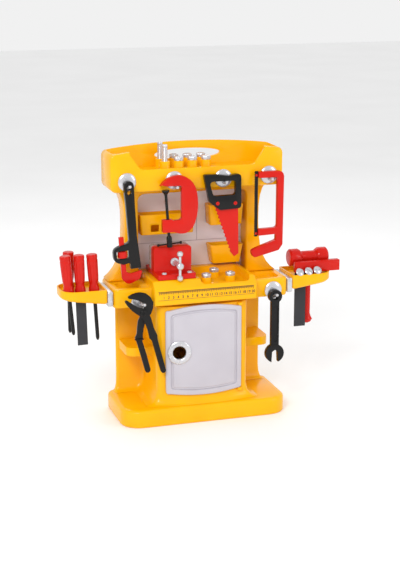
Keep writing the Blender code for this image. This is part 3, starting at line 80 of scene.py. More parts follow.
# Camera
VIEW_AZIMUTH = -17.25
VIEW_ELEVATION = 14.64
VIEW_TARGET = (0.0141, 0.026, 0.2655)
VIEW_DISTANCE = 2.83
VIEW_LENS = 85.4

# Edge rounding of the moulded nodes, in metres
EDGE = {
    "base_plinth": 0.0030, "lower_cabinet": 0.0026, "worktop": 0.0020, "upper_frame": 0.0038,
    "header_box": 0.0022, "backing_panel": 0.0005, "bin_left": 0.0006, "bin_right_upper": 0.0006,
    "bin_right_lower": 0.0006, "tray_left": 0.0008, "tray_right": 0.0008, "vise_body": 0.0016,
    "vise_jaw": 0.0012, "clamp_frame": 0.0040, "hacksaw_frame": 0.0034, "handsaw_handle": 0.0036,
    "pipe_wrench_handle": 0.0032, "pipe_wrench_jaw": 0.0018, "pliers_back_half": 0.0014,
    "pliers_front_half": 0.0014, "spanner": 0.0012, "try_square_stock": 0.0014,
    "bracket_left": 0.0006, "bracket_right": 0.0006,
}
EDGE_DEFAULT = 0.0005
KEEP_FACES = ("lower_cabinet",)     # nodes whose flat faces stay split, round their lugs


# ---------------------------------------------------------------- materials

def node_material(name):
    material = bpy.data.materials.new(name)
    material.use_nodes = True
    return material, material.node_tree, material.node_tree.nodes["Principled BSDF"]


def ramp(tree, source, low, high, start, end):
    """Maps a 0 to 1 value between two colours or greys."""
    node = tree.nodes.new("ShaderNodeValToRGB")
    node.color_ramp.elements[0].position = start
    node.color_ramp.elements[1].position = end
    node.color_ramp.elements[0].color = (*low, 1.0)
    node.color_ramp.elements[1].color = (*high, 1.0)
    tree.links.new(source, node.inputs["Fac"])
    return node.outputs["Color"]


def noise(tree, vector, scale, detail=3.0, roughness=0.5):
    node = tree.nodes.new("ShaderNodeTexNoise")
    node.inputs["Scale"].default_value = scale
    node.inputs["Detail"].default_value = detail
    node.inputs["Roughness"].default_value = roughness
    tree.links.new(vector, node.inputs["Vector"])
    return node.outputs["Fac"]


def grey(value):
    return (value, value, value)


def moulded(name, colour, shade, rough, coat=0.0, metallic=0.0, grain=0.00002, specular=0.5):
    """Injection-moulded plastic: slow colour drift, polish marks and a fine grain."""
    material, tree, shader = node_material(name)
    place = tree.nodes.new("ShaderNodeTexCoord").outputs["Object"]
    drift = noise(tree, place, 14.0, 2.0)
    tree.links.new(ramp(tree, drift, shade, colour, 0.30, 0.62), shader.inputs["Base Color"])
    polish = noise(tree, place, 90.0, 5.0, 0.6)
    marks = ramp(tree, polish, grey(rough - 0.04), grey(rough + 0.05), 0.32, 0.68)
    tree.links.new(marks, shader.inputs["Roughness"])
    fine = noise(tree, place, 2600.0, 2.0)
    ripple = noise(tree, place, 28.0, 1.0)
    blend = tree.nodes.new("ShaderNodeMath")
    blend.operation = "MULTIPLY_ADD"
    blend.inputs[1].default_value = 6.0
    tree.links.new(ripple, blend.inputs[0])
    tree.links.new(fine, blend.inputs[2])
    bump = tree.nodes.new("ShaderNodeBump")
    bump.inputs["Strength"].default_value = 0.35
    bump.inputs["Distance"].default_value = grain
    tree.links.new(blend.outputs["Value"], bump.inputs["Height"])
    tree.links.new(bump.outputs["Normal"], shader.inputs["Normal"])
    shader.inputs["Metallic"].default_value = metallic
    shader.inputs["Coat Weight"].default_value = coat
    shader.inputs["Coat Roughness"].default_value = 0.12
    shader.inputs["Specular IOR Level"].default_value = specular
    return material


def printed(name, colour):
    """Pad-printed ink, a little uneven in gloss."""
    material, tree, shader = node_material(name)
    place = tree.nodes.new("ShaderNodeTexCoord").outputs["Object"]
    spread = noise(tree, place, 900.0, 3.0)
    tree.links.new(ramp(tree, spread, colour, tuple(c * 1.6 for c in colour), 0.3, 0.8),
                   shader.inputs["Base Color"])
    tree.links.new(ramp(tree, spread, grey(0.42), grey(0.60), 0.3, 0.7), shader.inputs["Roughness"])
    return material


def make_materials():
    return {
        "yellow_plastic": moulded(
            "yellow_moulding", (0.91, 0.450, 0.002), (0.88, 0.408, 0.001), 0.20, 0.03, specular=0.22),
        "lilac_plastic": moulded(
            "lilac_moulding", (0.51, 0.485, 0.53), (0.475, 0.45, 0.495), 0.32, 0.10),
        # A lighter copy of the lilac moulding for the backing panel: painted light, raising its colour to
        # offset the shade of the window it sits in.
        "panel_lilac_painted_light": moulded(
            "panel_moulding_painted_light", (0.85, 0.84, 0.88), (0.80, 0.785, 0.83), 0.36, 0.05),
        "silver_plastic": moulded(
            "silver_moulding", (0.62, 0.62, 0.65), (0.52, 0.52, 0.55), 0.24, 0.2, 0.60),
        "red_plastic": moulded(
            "red_moulding", (0.59, 0.012, 0.006), (0.52, 0.008, 0.004), 0.17, 0.03, specular=0.20),
        "black_plastic": moulded(
            "black_moulding", (0.0085, 0.0080, 0.0080), (0.006, 0.006, 0.006), 0.22, 0.02,
            specular=0.22),
        "grey_plastic": moulded(
            "grey_moulding", (0.034, 0.034, 0.038), (0.026, 0.026, 0.030), 0.40, 0.0, specular=0.25),
        "ink": printed("ruler_ink", (0.008, 0.008, 0.009)),
    }


MATERIALS = make_materials()
SLOT_OF = {part["node"]: part["material_slot"] for part in frame["record"]["subparts"]}
BODY_OF = {
    node: body
    for body, nodes in frame["record"]["behaviour"]["bodies"].items()
    for node in nodes
}


# ---------------------------------------------------------------- CAD nodes

def smooth_tree(name, clean):
    """A node tree that welds a mesh and drops its stored normals, or smooths by angle."""
    tree = bpy.data.node_groups.new(name, "GeometryNodeTree")
    tree.interface.new_socket("Geometry", in_out="INPUT", socket_type="NodeSocketGeometry")
    tree.interface.new_socket("Geometry", in_out="OUTPUT", socket_type="NodeSocketGeometry")
    start = tree.nodes.new("NodeGroupInput")
    end = tree.nodes.new("NodeGroupOutput")
    if clean:
        drop = tree.nodes.new("GeometryNodeRemoveAttribute")
        drop.inputs["Name"].default_value = "custom_normal"
        weld = tree.nodes.new("GeometryNodeMergeByDistance")
        weld.inputs["Distance"].default_value = 0.00001
        tree.links.new(start.outputs[0], drop.inputs["Geometry"])
        tree.links.new(drop.outputs["Geometry"], weld.inputs["Geometry"])
        tree.links.new(weld.outputs["Geometry"], end.inputs[0])
        return tree
    faces = tree.nodes.new("GeometryNodeSetShadeSmooth")
    faces.domain = "FACE"
    edges = tree.nodes.new("GeometryNodeSetShadeSmooth")
    edges.domain = "EDGE"
    edges.inputs["Shade Smooth"].default_value = False
    angle = tree.nodes.new("GeometryNodeInputMeshEdgeAngle")
    sharp = tree.nodes.new("FunctionNodeCompare")
    sharp.operation = "GREATER_THAN"
    sharp.inputs[1].default_value = math.radians(42)
    tree.links.new(angle.outputs["Unsigned Angle"], sharp.inputs[0])
    tree.links.new(sharp.outputs["Result"], edges.inputs["Selection"])
    tree.links.new(start.outputs[0], faces.inputs["Geometry"])
    tree.links.new(faces.outputs["Geometry"], edges.inputs["Geometry"])
    tree.links.new(edges.outputs["Geometry"], end.inputs[0])
    return tree


def add_tree(obj, name, tree):
    modifier = obj.modifiers.new(name, "NODES")
    modifier.node_group = tree


def add_bevel(obj, width, segments=3, angle=32):
    modifier = obj.modifiers.new("edges", "BEVEL")
    modifier.width = width
    modifier.segments = segments
    modifier.limit_method = "ANGLE"
    modifier.angle_limit = math.radians(angle)
    modifier.use_clamp_overlap = True


def finish_nodes():
    clean = smooth_tree("weld", True)
    smooth = smooth_tree("smooth_by_angle", False)
    for name, obj in frame["nodes"].items():
        obj.data.materials.clear()
        # The backing panel takes the lighter lilac copy, painted light against the shade of its recess.
        look = "panel_lilac_painted_light" if name == "backing_panel" else SLOT_OF[name]
        obj.data.materials.append(MATERIALS[look])
        add_tree(obj, "weld", clean)
        if name not in KEEP_FACES:
            flat = obj.modifiers.new("flat_faces", "DECIMATE")
            flat.decimate_type = "DISSOLVE"
            flat.angle_limit = math.radians(0.1)
        add_bevel(obj, EDGE.get(name, EDGE_DEFAULT))
        add_tree(obj, "smooth", smooth)


# ---------------------------------------------------------------- mesh helpers

def add_loft(bm, rings, looped=False):
    rows = [[bm.verts.new(point) for point in ring] for ring in rings]
    count = len(rows[0])
    pairs = list(zip(rows, rows[1:]))
    if looped:
        pairs.append((rows[-1], rows[0]))
    for low, high in pairs:
        for index in range(count):
            after = (index + 1) % count
            bm.faces.new((low[index], low[after], high[after], high[index]))
    if not looped:
        bm.faces.new(list(reversed(rows[0])))
        bm.faces.new(rows[-1])
    return bm


def add_turned(bm, profile, steps=32, matrix=None, shape=None, looped=False):
    """Turns (radius, height) pairs round +Z. shape(turn, height) scales the radius."""
    matrix = matrix or Matrix.Identity(4)
    rings = []
    for radius, height in profile:
        ring = []
        for step in range(steps):
            turn = 2 * math.pi * step / steps
            r = radius * (shape(turn, height) if shape else 1.0)
            ring.append(matrix @ Vector((r * math.cos(turn), r * math.sin(turn), height)))
        rings.append(ring)
    return add_loft(bm, rings, looped)


def add_prism(bm, outline, low, high, matrix=None):
    matrix = matrix or Matrix.Identity(4)
    return add_loft(bm, [[matrix @ Vector((a, b, depth)) for a, b in outline]
                         for depth in (low, high)])


def facing(axis, at=(0.0, 0.0, 0.0)):
    turn = Vector((0.0, 0.0, 1.0)).rotation_difference(Vector(axis)).to_matrix().to_4x4()
    return Matrix.Translation(at) @ turn


def piece(name, bm, slot, body=ROOT, material=None, bevel=0.0, sharp=40, replaces=()):
    bmesh.ops.recalc_face_normals(bm, faces=bm.faces)
    mesh = bpy.data.meshes.new(name)
    bm.to_mesh(mesh)
    bm.free()
    obj = bpy.data.objects.new(name, mesh)
    bpy.context.scene.collection.objects.link(obj)
    mesh.materials.append(MATERIALS[material or slot])
    mesh.shade_smooth()
    mesh.set_sharp_from_angle(angle=math.radians(sharp))
    if bevel:
        add_bevel(obj, bevel, 2, 30)
    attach(obj, body)
    if replaces:
        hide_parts(*replaces)
    return obj


def centre(node):
    low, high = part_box(node)
    return (Vector(low) + Vector(high)) / 2


def joint(name):
    for entry in frame["record"]["behaviour"]["joints"]:
        if entry["name"] == name:
            return entry
    raise KeyError(name)


# ---------------------------------------------------------------- ruler

def make_ruler():
    """A centimetre scale printed on the front face of the bench's ledge."""
    low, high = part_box("worktop")
    face = low[1]
    line = high[2] - RULER_DROP
    x_start = RULER_START
    bm = bmesh.new()

    def bar(x_low, x_high, z_low, z_high):
        add_prism(bm, [(x_low, z_low), (x_high, z_low), (x_high, z_high), (x_low, z_high)],
                  0.0, 2 * SKIN, Matrix(((1, 0, 0, 0), (0, 0, -1, face + SKIN), (0, 1, 0, 0), (0, 0, 0, 1))))

    for mark in range(RULER_MARKS):
        x = x_start + mark * 0.001
        length = 0.0072 if mark % 10 == 0 else 0.0056 if mark % 5 == 0 else 0.0040
        wide = 0.00032 if mark % 5 == 0 else 0.00022
        bar(x - wide, x + wide, line - length, line)
    bar(x_start - 0.002, x_start + 0.202, line, line + 0.0006)
    bar(x_start - 0.002, x_start + 0.202, line - 0.0178, line - 0.0172)
    piece("ruler_marks", bm, "yellow_plastic", material="ink")
    for number in range(1, 21):
        text = bpy.data.curves.new(f"ruler_number_{number}", "FONT")
        text.body = str(number)
        text.size = NUMBER_SIZE
        text.offset = 0.00012
        text.extrude = SKIN
        text.align_x = "CENTER"
        text.align_y = "TOP"
        obj = bpy.data.objects.new(text.name, text)
        bpy.context.scene.collection.objects.link(obj)
        obj.location = (x_start + number * 0.01, face, line - NUMBER_DROP)
        obj.rotation_euler = (math.radians(90), 0.0, 0.0)
        text.materials.append(MATERIALS["ink"])
        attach(obj, ROOT)


# ---------------------------------------------------------------- door

def make_door():
    """The bowed door with its arched top and foot, and a moulded border round its middle."""
    low, high = (Vector(v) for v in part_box("cabinet_door"))
    source = frame["nodes"]["cabinet_door"].data
    ring = centre("door_pull_ring")
    middle_x = (low.x + high.x) / 2
    half = (high.x - low.x) / 2
    core = [v.co for v in source.vertices if abs(v.co.x - middle_x) < 0.02]
    side_top = max(v.z for v in core) - DOOR_ARCH_TOP
    side_foot = min(v.z for v in core) + DOOR_ARCH_FOOT
    flat = half - 0.009
    edge_y = min(v.co.y for v in source.vertices if abs(v.co.x - (low.x + 0.002)) < 0.0015)
    bow = edge_y - min(v.co.y for v in source.vertices if abs(v.co.x - middle_x) < 0.004)
    inset = GROOVE_INSET
    corner = GROOVE_CORNER

    def face_y(x):
        return edge_y - bow * (1 - (x / half) ** 2)

    def moulding(x, z, top, foot):
        """A groove round the door and a slightly raised panel inside it."""
        dx = abs(x) - (half - inset - corner)
        dz = abs(z - (top + foot) / 2) - ((top - foot) / 2 - inset - corner)
        reach = math.hypot(max(dx, 0.0), max(dz, 0.0)) + min(max(dx, dz), 0.0) - corner
        line = 0.0024 * math.exp(-(reach / 0.0012) ** 2)
        return line + 0.0014 * math.exp(-((reach + 0.0036) / 0.0009) ** 2)

    def spread(length, coarse):
        """Shares of a length, close together where the groove runs near its ends."""
        marks = [0.0, 0.0007, 0.0014, 0.0030, 0.0060, inset - 0.0035]
        step = inset - 0.0025
        while step < inset + corner + 0.0020:
            marks.append(step)
            step += 0.00075
        count = max(2, round((length / 2 - step) / coarse))
        marks += [step + (length / 2 - step) * k / count for k in range(count)]
        return [m / length for m in marks] + [0.5] + [1 - m / length for m in reversed(marks)]

    columns = spread(2 * half, 0.004)
    rows = spread(side_top - side_foot + DOOR_ARCH_TOP, 0.005)
    bm = bmesh.new()
    front = []
    back = []
    for share in columns:
        x = -half + 2 * half * share
        rounding = max(0.0, 1 - (half - abs(x)) / 0.0045)
        drop = 0.006 * (1 - math.sqrt(max(0.0, 1 - rounding ** 2)))
        arch = max(0.0, 1 - (x / flat) ** 2)
        top = side_top + DOOR_ARCH_TOP * arch - drop
        foot = side_foot - DOOR_ARCH_FOOT * arch + drop
        column = []
        for part in rows:
            z = foot + (top - foot) * part
            edge = min(z - foot, top - z, half - abs(x))
            soft = 0.0011 * max(0.0, 1 - edge / 0.0014) ** 2
            column.append(bm.verts.new((middle_x + x, face_y(x) + moulding(x, z, top, foot) + soft, z)))
        front.append(column)
        rear = face_y(x) + DOOR_THICK - SKIN
        back.append([bm.verts.new((middle_x + x, rear, z)) for z in (foot, top)])
    last = len(rows) - 1
    for a, b, p, q in zip(front, front[1:], back, back[1:]):
        for j in range(last):
            bm.faces.new((a[j], b[j], b[j + 1], a[j + 1]))
        bm.faces.new((p[0], p[1], q[1], q[0]))
        bm.faces.new((a[0], p[0], q[0], b[0]))
        bm.faces.new((a[last], b[last], q[1], p[1]))
    bm.faces.new(front[0] + [back[0][1], back[0][0]])
    bm.faces.new(front[-1] + [back[-1][1], back[-1][0]])
    door = piece("door_panel", bm, "lilac_plastic", "door", replaces=("cabinet_door",))
    hole = bmesh.new()
    add_turned(hole, [(RING_HOLE, -0.03), (RING_HOLE, 0.03)], 48, facing((0.0, -1.0, 0.0), ring))
    cut_with(door, hole)


def cut_with(obj, bm):
    """Cuts a piece with a helper mesh and applies the cut, so that no helper is left."""
    bmesh.ops.recalc_face_normals(bm, faces=bm.faces)
    mesh = bpy.data.meshes.new("cutter")
    bm.to_mesh(mesh)
    bm.free()
    helper = bpy.data.objects.new("cutter", mesh)
    bpy.context.scene.collection.objects.link(helper)
    modifier = obj.modifiers.new("cut", "BOOLEAN")
    modifier.operation = "DIFFERENCE"
    modifier.solver = "EXACT"
    modifier.object = helper
    bpy.context.view_layer.update()
    result = bpy.data.meshes.new_from_object(
        obj.evaluated_get(bpy.context.evaluated_depsgraph_get()))
    obj.modifiers.remove(modifier)
    obj.data = result
    bpy.data.objects.remove(helper, do_unlink=True)
    obj.data.shade_smooth()
    obj.data.set_sharp_from_angle(angle=math.radians(40))


# ---------------------------------------------------------------- bolts and pins

def bolt_mesh(x, y, seat, shank, head_radius, head_thick, shank_length):
    """A moulded bolt: a hexagonal head with a domed top and a threaded shank."""
    def hexagon(turn, height):
        if height < 0.0002:
            return 1.0
        return 0.93 / max(math.cos((turn + math.pi / 6) % (math.pi / 3) - math.pi / 6), 0.86)

    profile = [(shank * 0.7, -shank_length), (shank * 0.9, -shank_length + 0.0008)]
    turns = 7
    for index in range(turns):
        z = -shank_length + 0.0012 + (shank_length - 0.0016) * index / turns
        profile += [(shank * 0.88, z), (shank, z + 0.0005)]
    profile += [
        (shank * 0.9, 0.0), (head_radius * 0.96, 0.0), (head_radius, 0.0006),
        (head_radius, head_thick * 0.62), (head_radius * 0.97, head_thick * 0.78),
        (head_radius * 0.84, head_thick * 0.90), (head_radius * 0.62, head_thick * 0.97),
        (head_radius * 0.50, head_thick), (head_radius * 0.46, head_thick * 0.99),
        (head_radius * 0.44, head_thick * 0.82), (head_radius * 0.20, head_thick * 0.80),
    ]
    bm = bmesh.new()
    return add_turned(bm, profile, 36, Matrix.Translation((x, y, seat)), hexagon)


def make_bolts():
    for node in frame["nodes"]:
        if not ("bolt" in node or "header_pin" in node):
            continue
        low, high = (Vector(v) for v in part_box(node))
        middle = (low + high) / 2
        if "bolt" in node:
            head = (high.x - low.x) / 2
            bm = bolt_mesh(middle.x, middle.y, low.z + SHANK_LENGTH, SHANK_RADIUS, head,
                           high.z - low.z - SHANK_LENGTH, SHANK_LENGTH)
        else:
            bm = pin_mesh(middle.x, middle.y, low.z, high.z, (high.x - low.x) / 2)
        piece(f"{node}_moulding", bm, "silver_plastic", BODY_OF[node], sharp=50, replaces=(node,))


def pin_mesh(x, y, low, high, radius):
    """A long moulded screw, threaded most of the way, with a slotted rounded top."""
    profile = [(radius * 0.8, low), (radius * 0.95, low + 0.0008)]
    z = low + 0.0015
    while z < high - 0.008:
        profile += [(radius * 0.90, z), (radius, z + 0.0009), (radius, z + 0.0013)]
        z += 0.0022
    profile += [(radius * 0.90, z), (radius, z + 0.0006), (radius, high - 0.0016),
                (radius * 0.94, high - 0.0006), (radius * 0.84, high), (radius * 0.30, high)]
    return add_turned(bmesh.new(), profile, 28, Matrix.Translation((x, y, 0.0)))


# ---------------------------------------------------------------- drivers

def make_driver_handles():
    """Fluted handles with a waist, a flared foot and a collar under the cap."""
    for name in ("nut_driver", "awl", "chisel", "screwdriver"):
        entry = joint(f"{name}_lift")
        axis = Vector(entry["axis"])
        start = Vector(entry["pos_m"])
        radius = GRIP_RADIUS
        length = GRIP_LENGTH
        profile = [
            (radius * 0.70, 0.0), (radius * 0.93, 0.0006), (radius * 1.0, 0.0026),
            (radius * 1.0, 0.0048), (radius * 0.95, 0.0085), (radius * 0.86, 0.0125),
            (radius * 0.80, 0.0165), (radius * 0.80, 0.0190), (radius * 0.86, 0.0225),
            (radius * 0.92, 0.0260), (radius * 0.95, 0.034), (radius * 0.97, 0.044),
            (radius * 0.99, 0.054), (radius * 1.0, 0.062), (radius * 1.0, 0.0665),
            (radius * 0.95, 0.0682), (radius * 0.95, 0.0694), (radius * 1.0, 0.0710),
            (radius * 1.0, length - 0.0022), (radius * 0.96, length - 0.0008),
            (radius * 0.86, length), (radius * 0.40, length),
        ]

        def flutes(turn, height):
            if height < FLUTES_FROM or height > FLUTES_TO:
                return 1.0
            fade = min(1.0, (height - FLUTES_FROM) / 0.006, (FLUTES_TO - height) / 0.004)
            groove = max(0.0, math.cos(FLUTE_COUNT * turn)) ** 2
            return 1.0 - 0.10 * groove * max(0.0, fade)

        dense = []
        for (r0, z0), (r1, z1) in zip(profile, profile[1:]):
            parts = max(1, round((z1 - z0) / 0.0022))
            for part in range(parts):
                t = part / parts
                dense.append((r0 + (r1 - r0) * t, z0 + (z1 - z0) * t))
        dense.append(profile[-1])
        bm = add_turned(bmesh.new(), dense, 64, facing(axis, start), flutes)
        handle = piece(f"{name}_grip", bm, "red_plastic", name, sharp=48,
                       replaces=(f"{name}_handle",))
        hole = bmesh.new()
        if name == "chisel":
            half = 0.0066
            outline = [(-half, -0.0019), (half, -0.0019), (half, 0.0019), (-half, 0.0019)]
            add_prism(hole, outline, -0.01, 0.015, facing(axis, start))
        else:
            add_turned(hole, [(0.0043, -0.01), (0.0043, 0.015)], 24, facing(axis, start))
        cut_with(handle, hole)


# ---------------------------------------------------------------- threads and knurls

def make_clamp_screw():
    """The clamp's screw with its swivel pad, threaded below the pad."""
    entry = joint("clamp_screw_slide")
    axis = Vector(entry["axis"])
    start = Vector(entry["pos_m"])
    core = 0.0027
    crest = 0.0032
    profile = [(core * 0.8, -0.103), (core, -0.1025)]
    z = -0.100
    while z < -0.014:
        profile += [(core, z), (crest, z + 0.0007), (crest, z + 0.0011), (core, z + 0.0018)]
        z += 0.0025
    profile += [(crest, -0.0105), (crest, -0.0092), (0.0042, -0.0072), (0.0070, -0.0036),
                (0.0078, -0.0024), (0.0078, -0.0008), (0.0074, 0.0), (0.0030, 0.0)]
    piece("clamp_screw_thread", add_turned(bmesh.new(), profile, 28, facing(axis, start)),
          "black_plastic", "clamp_screw", sharp=55, replaces=("clamp_screw",))


def make_wrench_nut():
    """The pipe wrench's adjusting nut, a knurled ring."""
    entry = joint("wrench_nut_turn")
    bore = 0.0064
    outer = 0.0100
    half = 0.0063

    def knurl(turn, height):
        return 1.0 + 0.035 * math.cos(20 * turn) if abs(height) < half - 0.0010 else 0.985

    profile = [(bore, -half), (outer * 0.94, -half), (outer * 0.98, -half + 0.0007)]
    for index in range(9):
        z = -half + 0.0014 + (2 * half - 0.0028) * index / 8
        profile.append((outer * (0.965 if index % 2 else 0.93), z))
    profile += [(outer * 0.98, half - 0.0007), (outer * 0.94, half), (bore, half)]

    bm = bmesh.new()
    matrix = facing(Vector(entry["axis"]), Vector(entry["pos_m"]))
    rings = []
    for radius, height in profile:
        ring = []
        for step in range(80):
            turn = 2 * math.pi * step / 80
            r = radius * knurl(turn, height) if radius > bore + 0.0005 else radius
            ring.append(matrix @ Vector((r * math.cos(turn), r * math.sin(turn), height)))
        rings.append(ring)
    add_loft(bm, rings, looped=True)
    piece("wrench_nut_knurled", bm, "red_plastic", "pipe_wrench_nut", sharp=50,
          replaces=("pipe_wrench_nut",))


# ---------------------------------------------------------------- small fittings

def screw_head(name, at, axis, radius, height, body, slot="silver_plastic"):
    """A domed screw head with a cross recess."""
    matrix = facing(axis, at)
    profile = [(radius, -0.0004), (radius, height * 0.35), (radius * 0.93, height * 0.62),
               (radius * 0.72, height * 0.88), (radius * 0.40, height), (radius * 0.10, height)]
    head = piece(name, add_turned(bmesh.new(), profile, 32, matrix), slot, body)
    cross = bmesh.new()
    arm = radius * 0.52
    thin = radius * 0.13
    outline = [(-arm, -thin), (-thin, -thin), (-thin, -arm), (thin, -arm), (thin, -thin),
               (arm, -thin), (arm, thin), (thin, thin), (thin, arm), (-thin, arm),
               (-thin, thin), (-arm, thin)]
    add_prism(cross, outline, height * 0.45, height * 2, matrix)
    cut_with(head, cross)


def make_fittings():
    low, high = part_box("vise_body")
    flange_top = low[2] + 0.011
    screw_head("vise_bolt_left", (low[0] + 0.0150, low[1] + 0.0095, flange_top), (0, 0, 1),
               0.0052, 0.0034, ROOT)
    screw_head("vise_bolt_right", (high[0] - 0.0120, low[1] + 0.0095, flange_top), (0, 0, 1),
               0.0052, 0.0034, ROOT)
    low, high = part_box("handsaw_handle")
    screw_head("handsaw_rivet_left", (low[0] + 0.0280, low[1], low[2] + 0.0140), (0, -1, 0),
               0.0038, 0.0016, "handsaw", "red_plastic")
    screw_head("handsaw_rivet_right", (high[0] - 0.0130, low[1], low[2] + 0.0128), (0, -1, 0),
               0.0038, 0.0016, "handsaw", "red_plastic")
    low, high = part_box("hacksaw_frame")
    blade = centre("hacksaw_blade")
    for name, z in (("top", high[2] - 0.0075), ("foot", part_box("hacksaw_blade")[0][2] + 0.0065)):
        screw_head(f"hacksaw_pin_{name}", (blade.x + 0.0002, blade.y - 0.0013, z), (0, -1, 0),
                   0.0026, 0.0016, "hacksaw", "red_plastic")
    pivot = Vector(joint("pliers_pivot")["pos_m"])
    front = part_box("pliers_front_half")[0][1]
    screw_head("pliers_rivet", (pivot.x, front - 0.0002, pivot.z), (0, -1, 0), 0.0062, 0.0020,
               "pliers", "black_plastic")


def make_saw_blade():
    """The handsaw's blade with its large wavy teeth, in the CAD blade's own outline."""
    source = frame["nodes"]["handsaw_blade"].data
    low, high = (Vector(v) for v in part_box("handsaw_blade"))
    points = [v.co for v in source.vertices]
    toe = min(points, key=lambda p: p.z)
    toe_left = min((p for p in points if p.z < low.z + 0.012), key=lambda p: p.x)
    heel_left = min((p for p in points if p.z > high.z - 0.012), key=lambda p: p.x)
    heel_right = max((p for p in points if p.z > high.z - 0.012), key=lambda p: p.x)
    toe_right = max((p for p in points if p.z < low.z + 0.012), key=lambda p: p.x)
    start = Vector((heel_left.x + 0.0008, heel_left.z))
    end = Vector((toe_left.x + 0.0010, toe_left.z))
    along_edge = end - start
    inward = Vector((-along_edge.y, along_edge.x)).normalized()
    teeth = 13
    edge = []
    for tooth in range(teeth):
        for part in range(8):
            share = (tooth + part / 8) / teeth
            depth = 0.0022 * (0.5 - 0.5 * math.cos(2 * math.pi * part / 8)) ** 0.8
            edge.append(start + along_edge * share + inward * depth)
    edge.append(end)
    outline = [(p.x, p.y) for p in edge]
    outline += [(toe.x, toe.z), (toe_right.x, toe_right.z), (heel_right.x, heel_right.z)]
    turn = Matrix(((1, 0, 0, 0), (0, 0, 1, 0), (0, 1, 0, 0), (0, 0, 0, 1)))
    piece("handsaw_blade_wavy", add_prism(bmesh.new(), outline, low.y, high.y, turn),
          "red_plastic", "handsaw", bevel=0.0004, replaces=("handsaw_blade",))


def make_pliers_ring():
    """The moulded collar on the pliers' back handle."""
    low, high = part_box("pliers_back_half")
    pivot = Vector(joint("pliers_pivot")["pos_m"])
    near = [v.co for v in frame["nodes"]["pliers_back_half"].data.vertices
            if abs(v.co.z - (pivot.z - 0.055)) < 0.006]
    left = min(p.x for p in near)
    right = max(p.x for p in near)
    middle = Vector(((left + right) / 2, (low[1] + high[1]) / 2 + 0.0005, pivot.z - 0.055))
    half = (right - left) / 2
    profile = [(half * 0.80, -0.0016), (half + 0.0010, -0.0012), (half + 0.0016, 0.0),
               (half + 0.0010, 0.0012), (half * 0.80, 0.0016)]

    def squashed(turn, height):
        return 1.0 / math.hypot(math.cos(turn), math.sin(turn) * half / 0.0034)

    piece("pliers_collar", add_turned(bmesh.new(), profile, 32, Matrix.Translation(middle), squashed),
          "black_plastic", "pliers")


def make_tray_screws():
    """Three loose slotted screws that lean on the right tray's front rim."""
    low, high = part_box("tray_right")
    lean = Vector((0.10, -0.75, 0.62)).normalized()
    for index, (x, turn) in enumerate(((0.0180, 0.5), (0.0378, -0.7), (0.0575, 0.2))):
        at = Vector((low[0] + x, low[1] + 0.0050, high[2] + 0.0056 + 0.0008 * index))
        matrix = facing(lean, at) @ Matrix.Rotation(turn, 4, "Z")
        profile = [(0.0022, -0.0105), (0.0030, -0.0095)]
        profile += [(0.0030 if step % 2 else 0.0036, -0.0090 + 0.0008 * step) for step in range(7)]
        profile += [(0.0032, -0.0030), (0.0070, -0.0028), (0.0086, -0.0022), (0.0090, -0.0012),
                    (0.0088, 0.0), (0.0072, 0.0012), (0.0048, 0.0019), (0.0015, 0.0021)]
        screw = piece(f"tray_screw_{index + 1}", add_turned(bmesh.new(), profile, 36, matrix),
                      "silver_plastic", sharp=50)
        slot = bmesh.new()
        outline = [(-0.0100, -0.0010), (0.0100, -0.0010), (0.0100, 0.0010), (-0.0100, 0.0010)]
        add_prism(slot, outline, 0.0001, 0.0060, matrix)
        cut_with(screw, slot)


def make_panel_lines():
    """Painted shade for two moulded grooves in the backing panel: darker strips, one upright and one level.
    """
    low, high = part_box("backing_panel")
    face = low[1] - SKIN
    bm = bmesh.new()
    turn = Matrix(((1, 0, 0, 0), (0, 0, -1, face), (0, 1, 0, 0), (0, 0, 0, 1)))
    x = 0.019
    z = low[2] + 0.068
    wide = 0.0007
    add_prism(bm, [(x - wide, z), (x + wide, z), (x + wide, high[2]), (x - wide, high[2])],
              -SKIN, SKIN, turn)
    add_prism(bm, [(low[0], z - wide), (high[0], z - wide), (high[0], z + wide), (low[0], z + wide)],
              -SKIN, SKIN, turn)
    # Flat darker lilac strips: painted shade of the panel's grooves.
    piece("panel_painted_groove_shade", bm, "lilac_plastic", ROOT, material="lilac_plastic")


# ---------------------------------------------------------------- camera and light

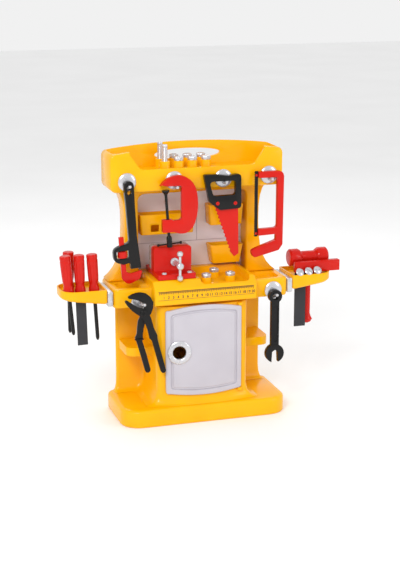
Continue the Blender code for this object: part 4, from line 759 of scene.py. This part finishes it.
def make_camera():
    azimuth = math.radians(VIEW_AZIMUTH)
    elevation = math.radians(VIEW_ELEVATION)
    target = Vector(VIEW_TARGET)
    away = Vector((
        math.cos(elevation) * math.sin(azimuth),
        -math.cos(elevation) * math.cos(azimuth),
        math.sin(elevation),
    ))
    data = bpy.data.cameras.new("camera")
    data.lens = VIEW_LENS
    data.sensor_width = 36.0
    data.clip_end = 50.0
    camera = bpy.data.objects.new("camera", data)
    camera.location = target + away * VIEW_DISTANCE
    camera.rotation_euler = (-away).to_track_quat("-Z", "Y").to_euler()
    bpy.context.scene.collection.objects.link(camera)
    bpy.context.scene.camera = camera


def add_softbox(name, at, size, power, target=(0.0, 0.0, 0.28), tint=(1.0, 1.0, 1.0)):
    data = bpy.data.lights.new(name, "AREA")
    data.shape = "RECTANGLE"
    data.size, data.size_y = size
    data.energy = power
    data.color = tint
    lamp = bpy.data.objects.new(name, data)
    lamp.location = at
    lamp.rotation_euler = (Vector(target) - Vector(at)).to_track_quat("-Z", "Y").to_euler()
    bpy.context.scene.collection.objects.link(lamp)


def make_studio():
    world = bpy.data.worlds.new("studio")
    world.use_nodes = True
    world.node_tree.nodes["Background"].inputs["Color"].default_value = (1.0, 1.0, 1.0, 1.0)
    world.node_tree.nodes["Background"].inputs["Strength"].default_value = 0.88
    bpy.context.scene.world = world
    add_softbox("key", (-1.3, -1.9, 1.9), (0.8, 0.8), 34.0)
    add_softbox("fill", (1.8, -1.6, 1.1), (0.7, 1.4), 9.0)
    add_softbox("rim", (0.3, 1.6, 1.8), (1.6, 0.8), 8.0)
    bpy.context.scene.view_settings.view_transform = "Standard"
    bm = bmesh.new()
    add_prism(bm, [(-9.0, -9.0), (9.0, -9.0), (9.0, 9.0), (-9.0, 9.0)], -0.02, 0.0)
    mesh = bpy.data.meshes.new("floor")
    bm.to_mesh(mesh)
    bm.free()
    floor = bpy.data.objects.new("floor", mesh)
    bpy.context.scene.collection.objects.link(floor)
    material, tree, shader = node_material("floor_paper")
    place = tree.nodes.new("ShaderNodeTexCoord").outputs["Object"]
    tint = ramp(tree, noise(tree, place, 2.0), grey(0.90), grey(0.93), 0.3, 0.7)
    tree.links.new(tint, shader.inputs["Base Color"])
    shader.inputs["Roughness"].default_value = 0.8
    mesh.materials.append(material)


def main():
    finish_nodes()
    make_ruler()
    make_door()
    make_bolts()
    make_driver_handles()
    make_clamp_screw()
    make_wrench_nut()
    make_fittings()
    make_saw_blade()
    make_pliers_ring()
    make_tray_screws()
    make_panel_lines()
    make_camera()
    make_studio()


main()
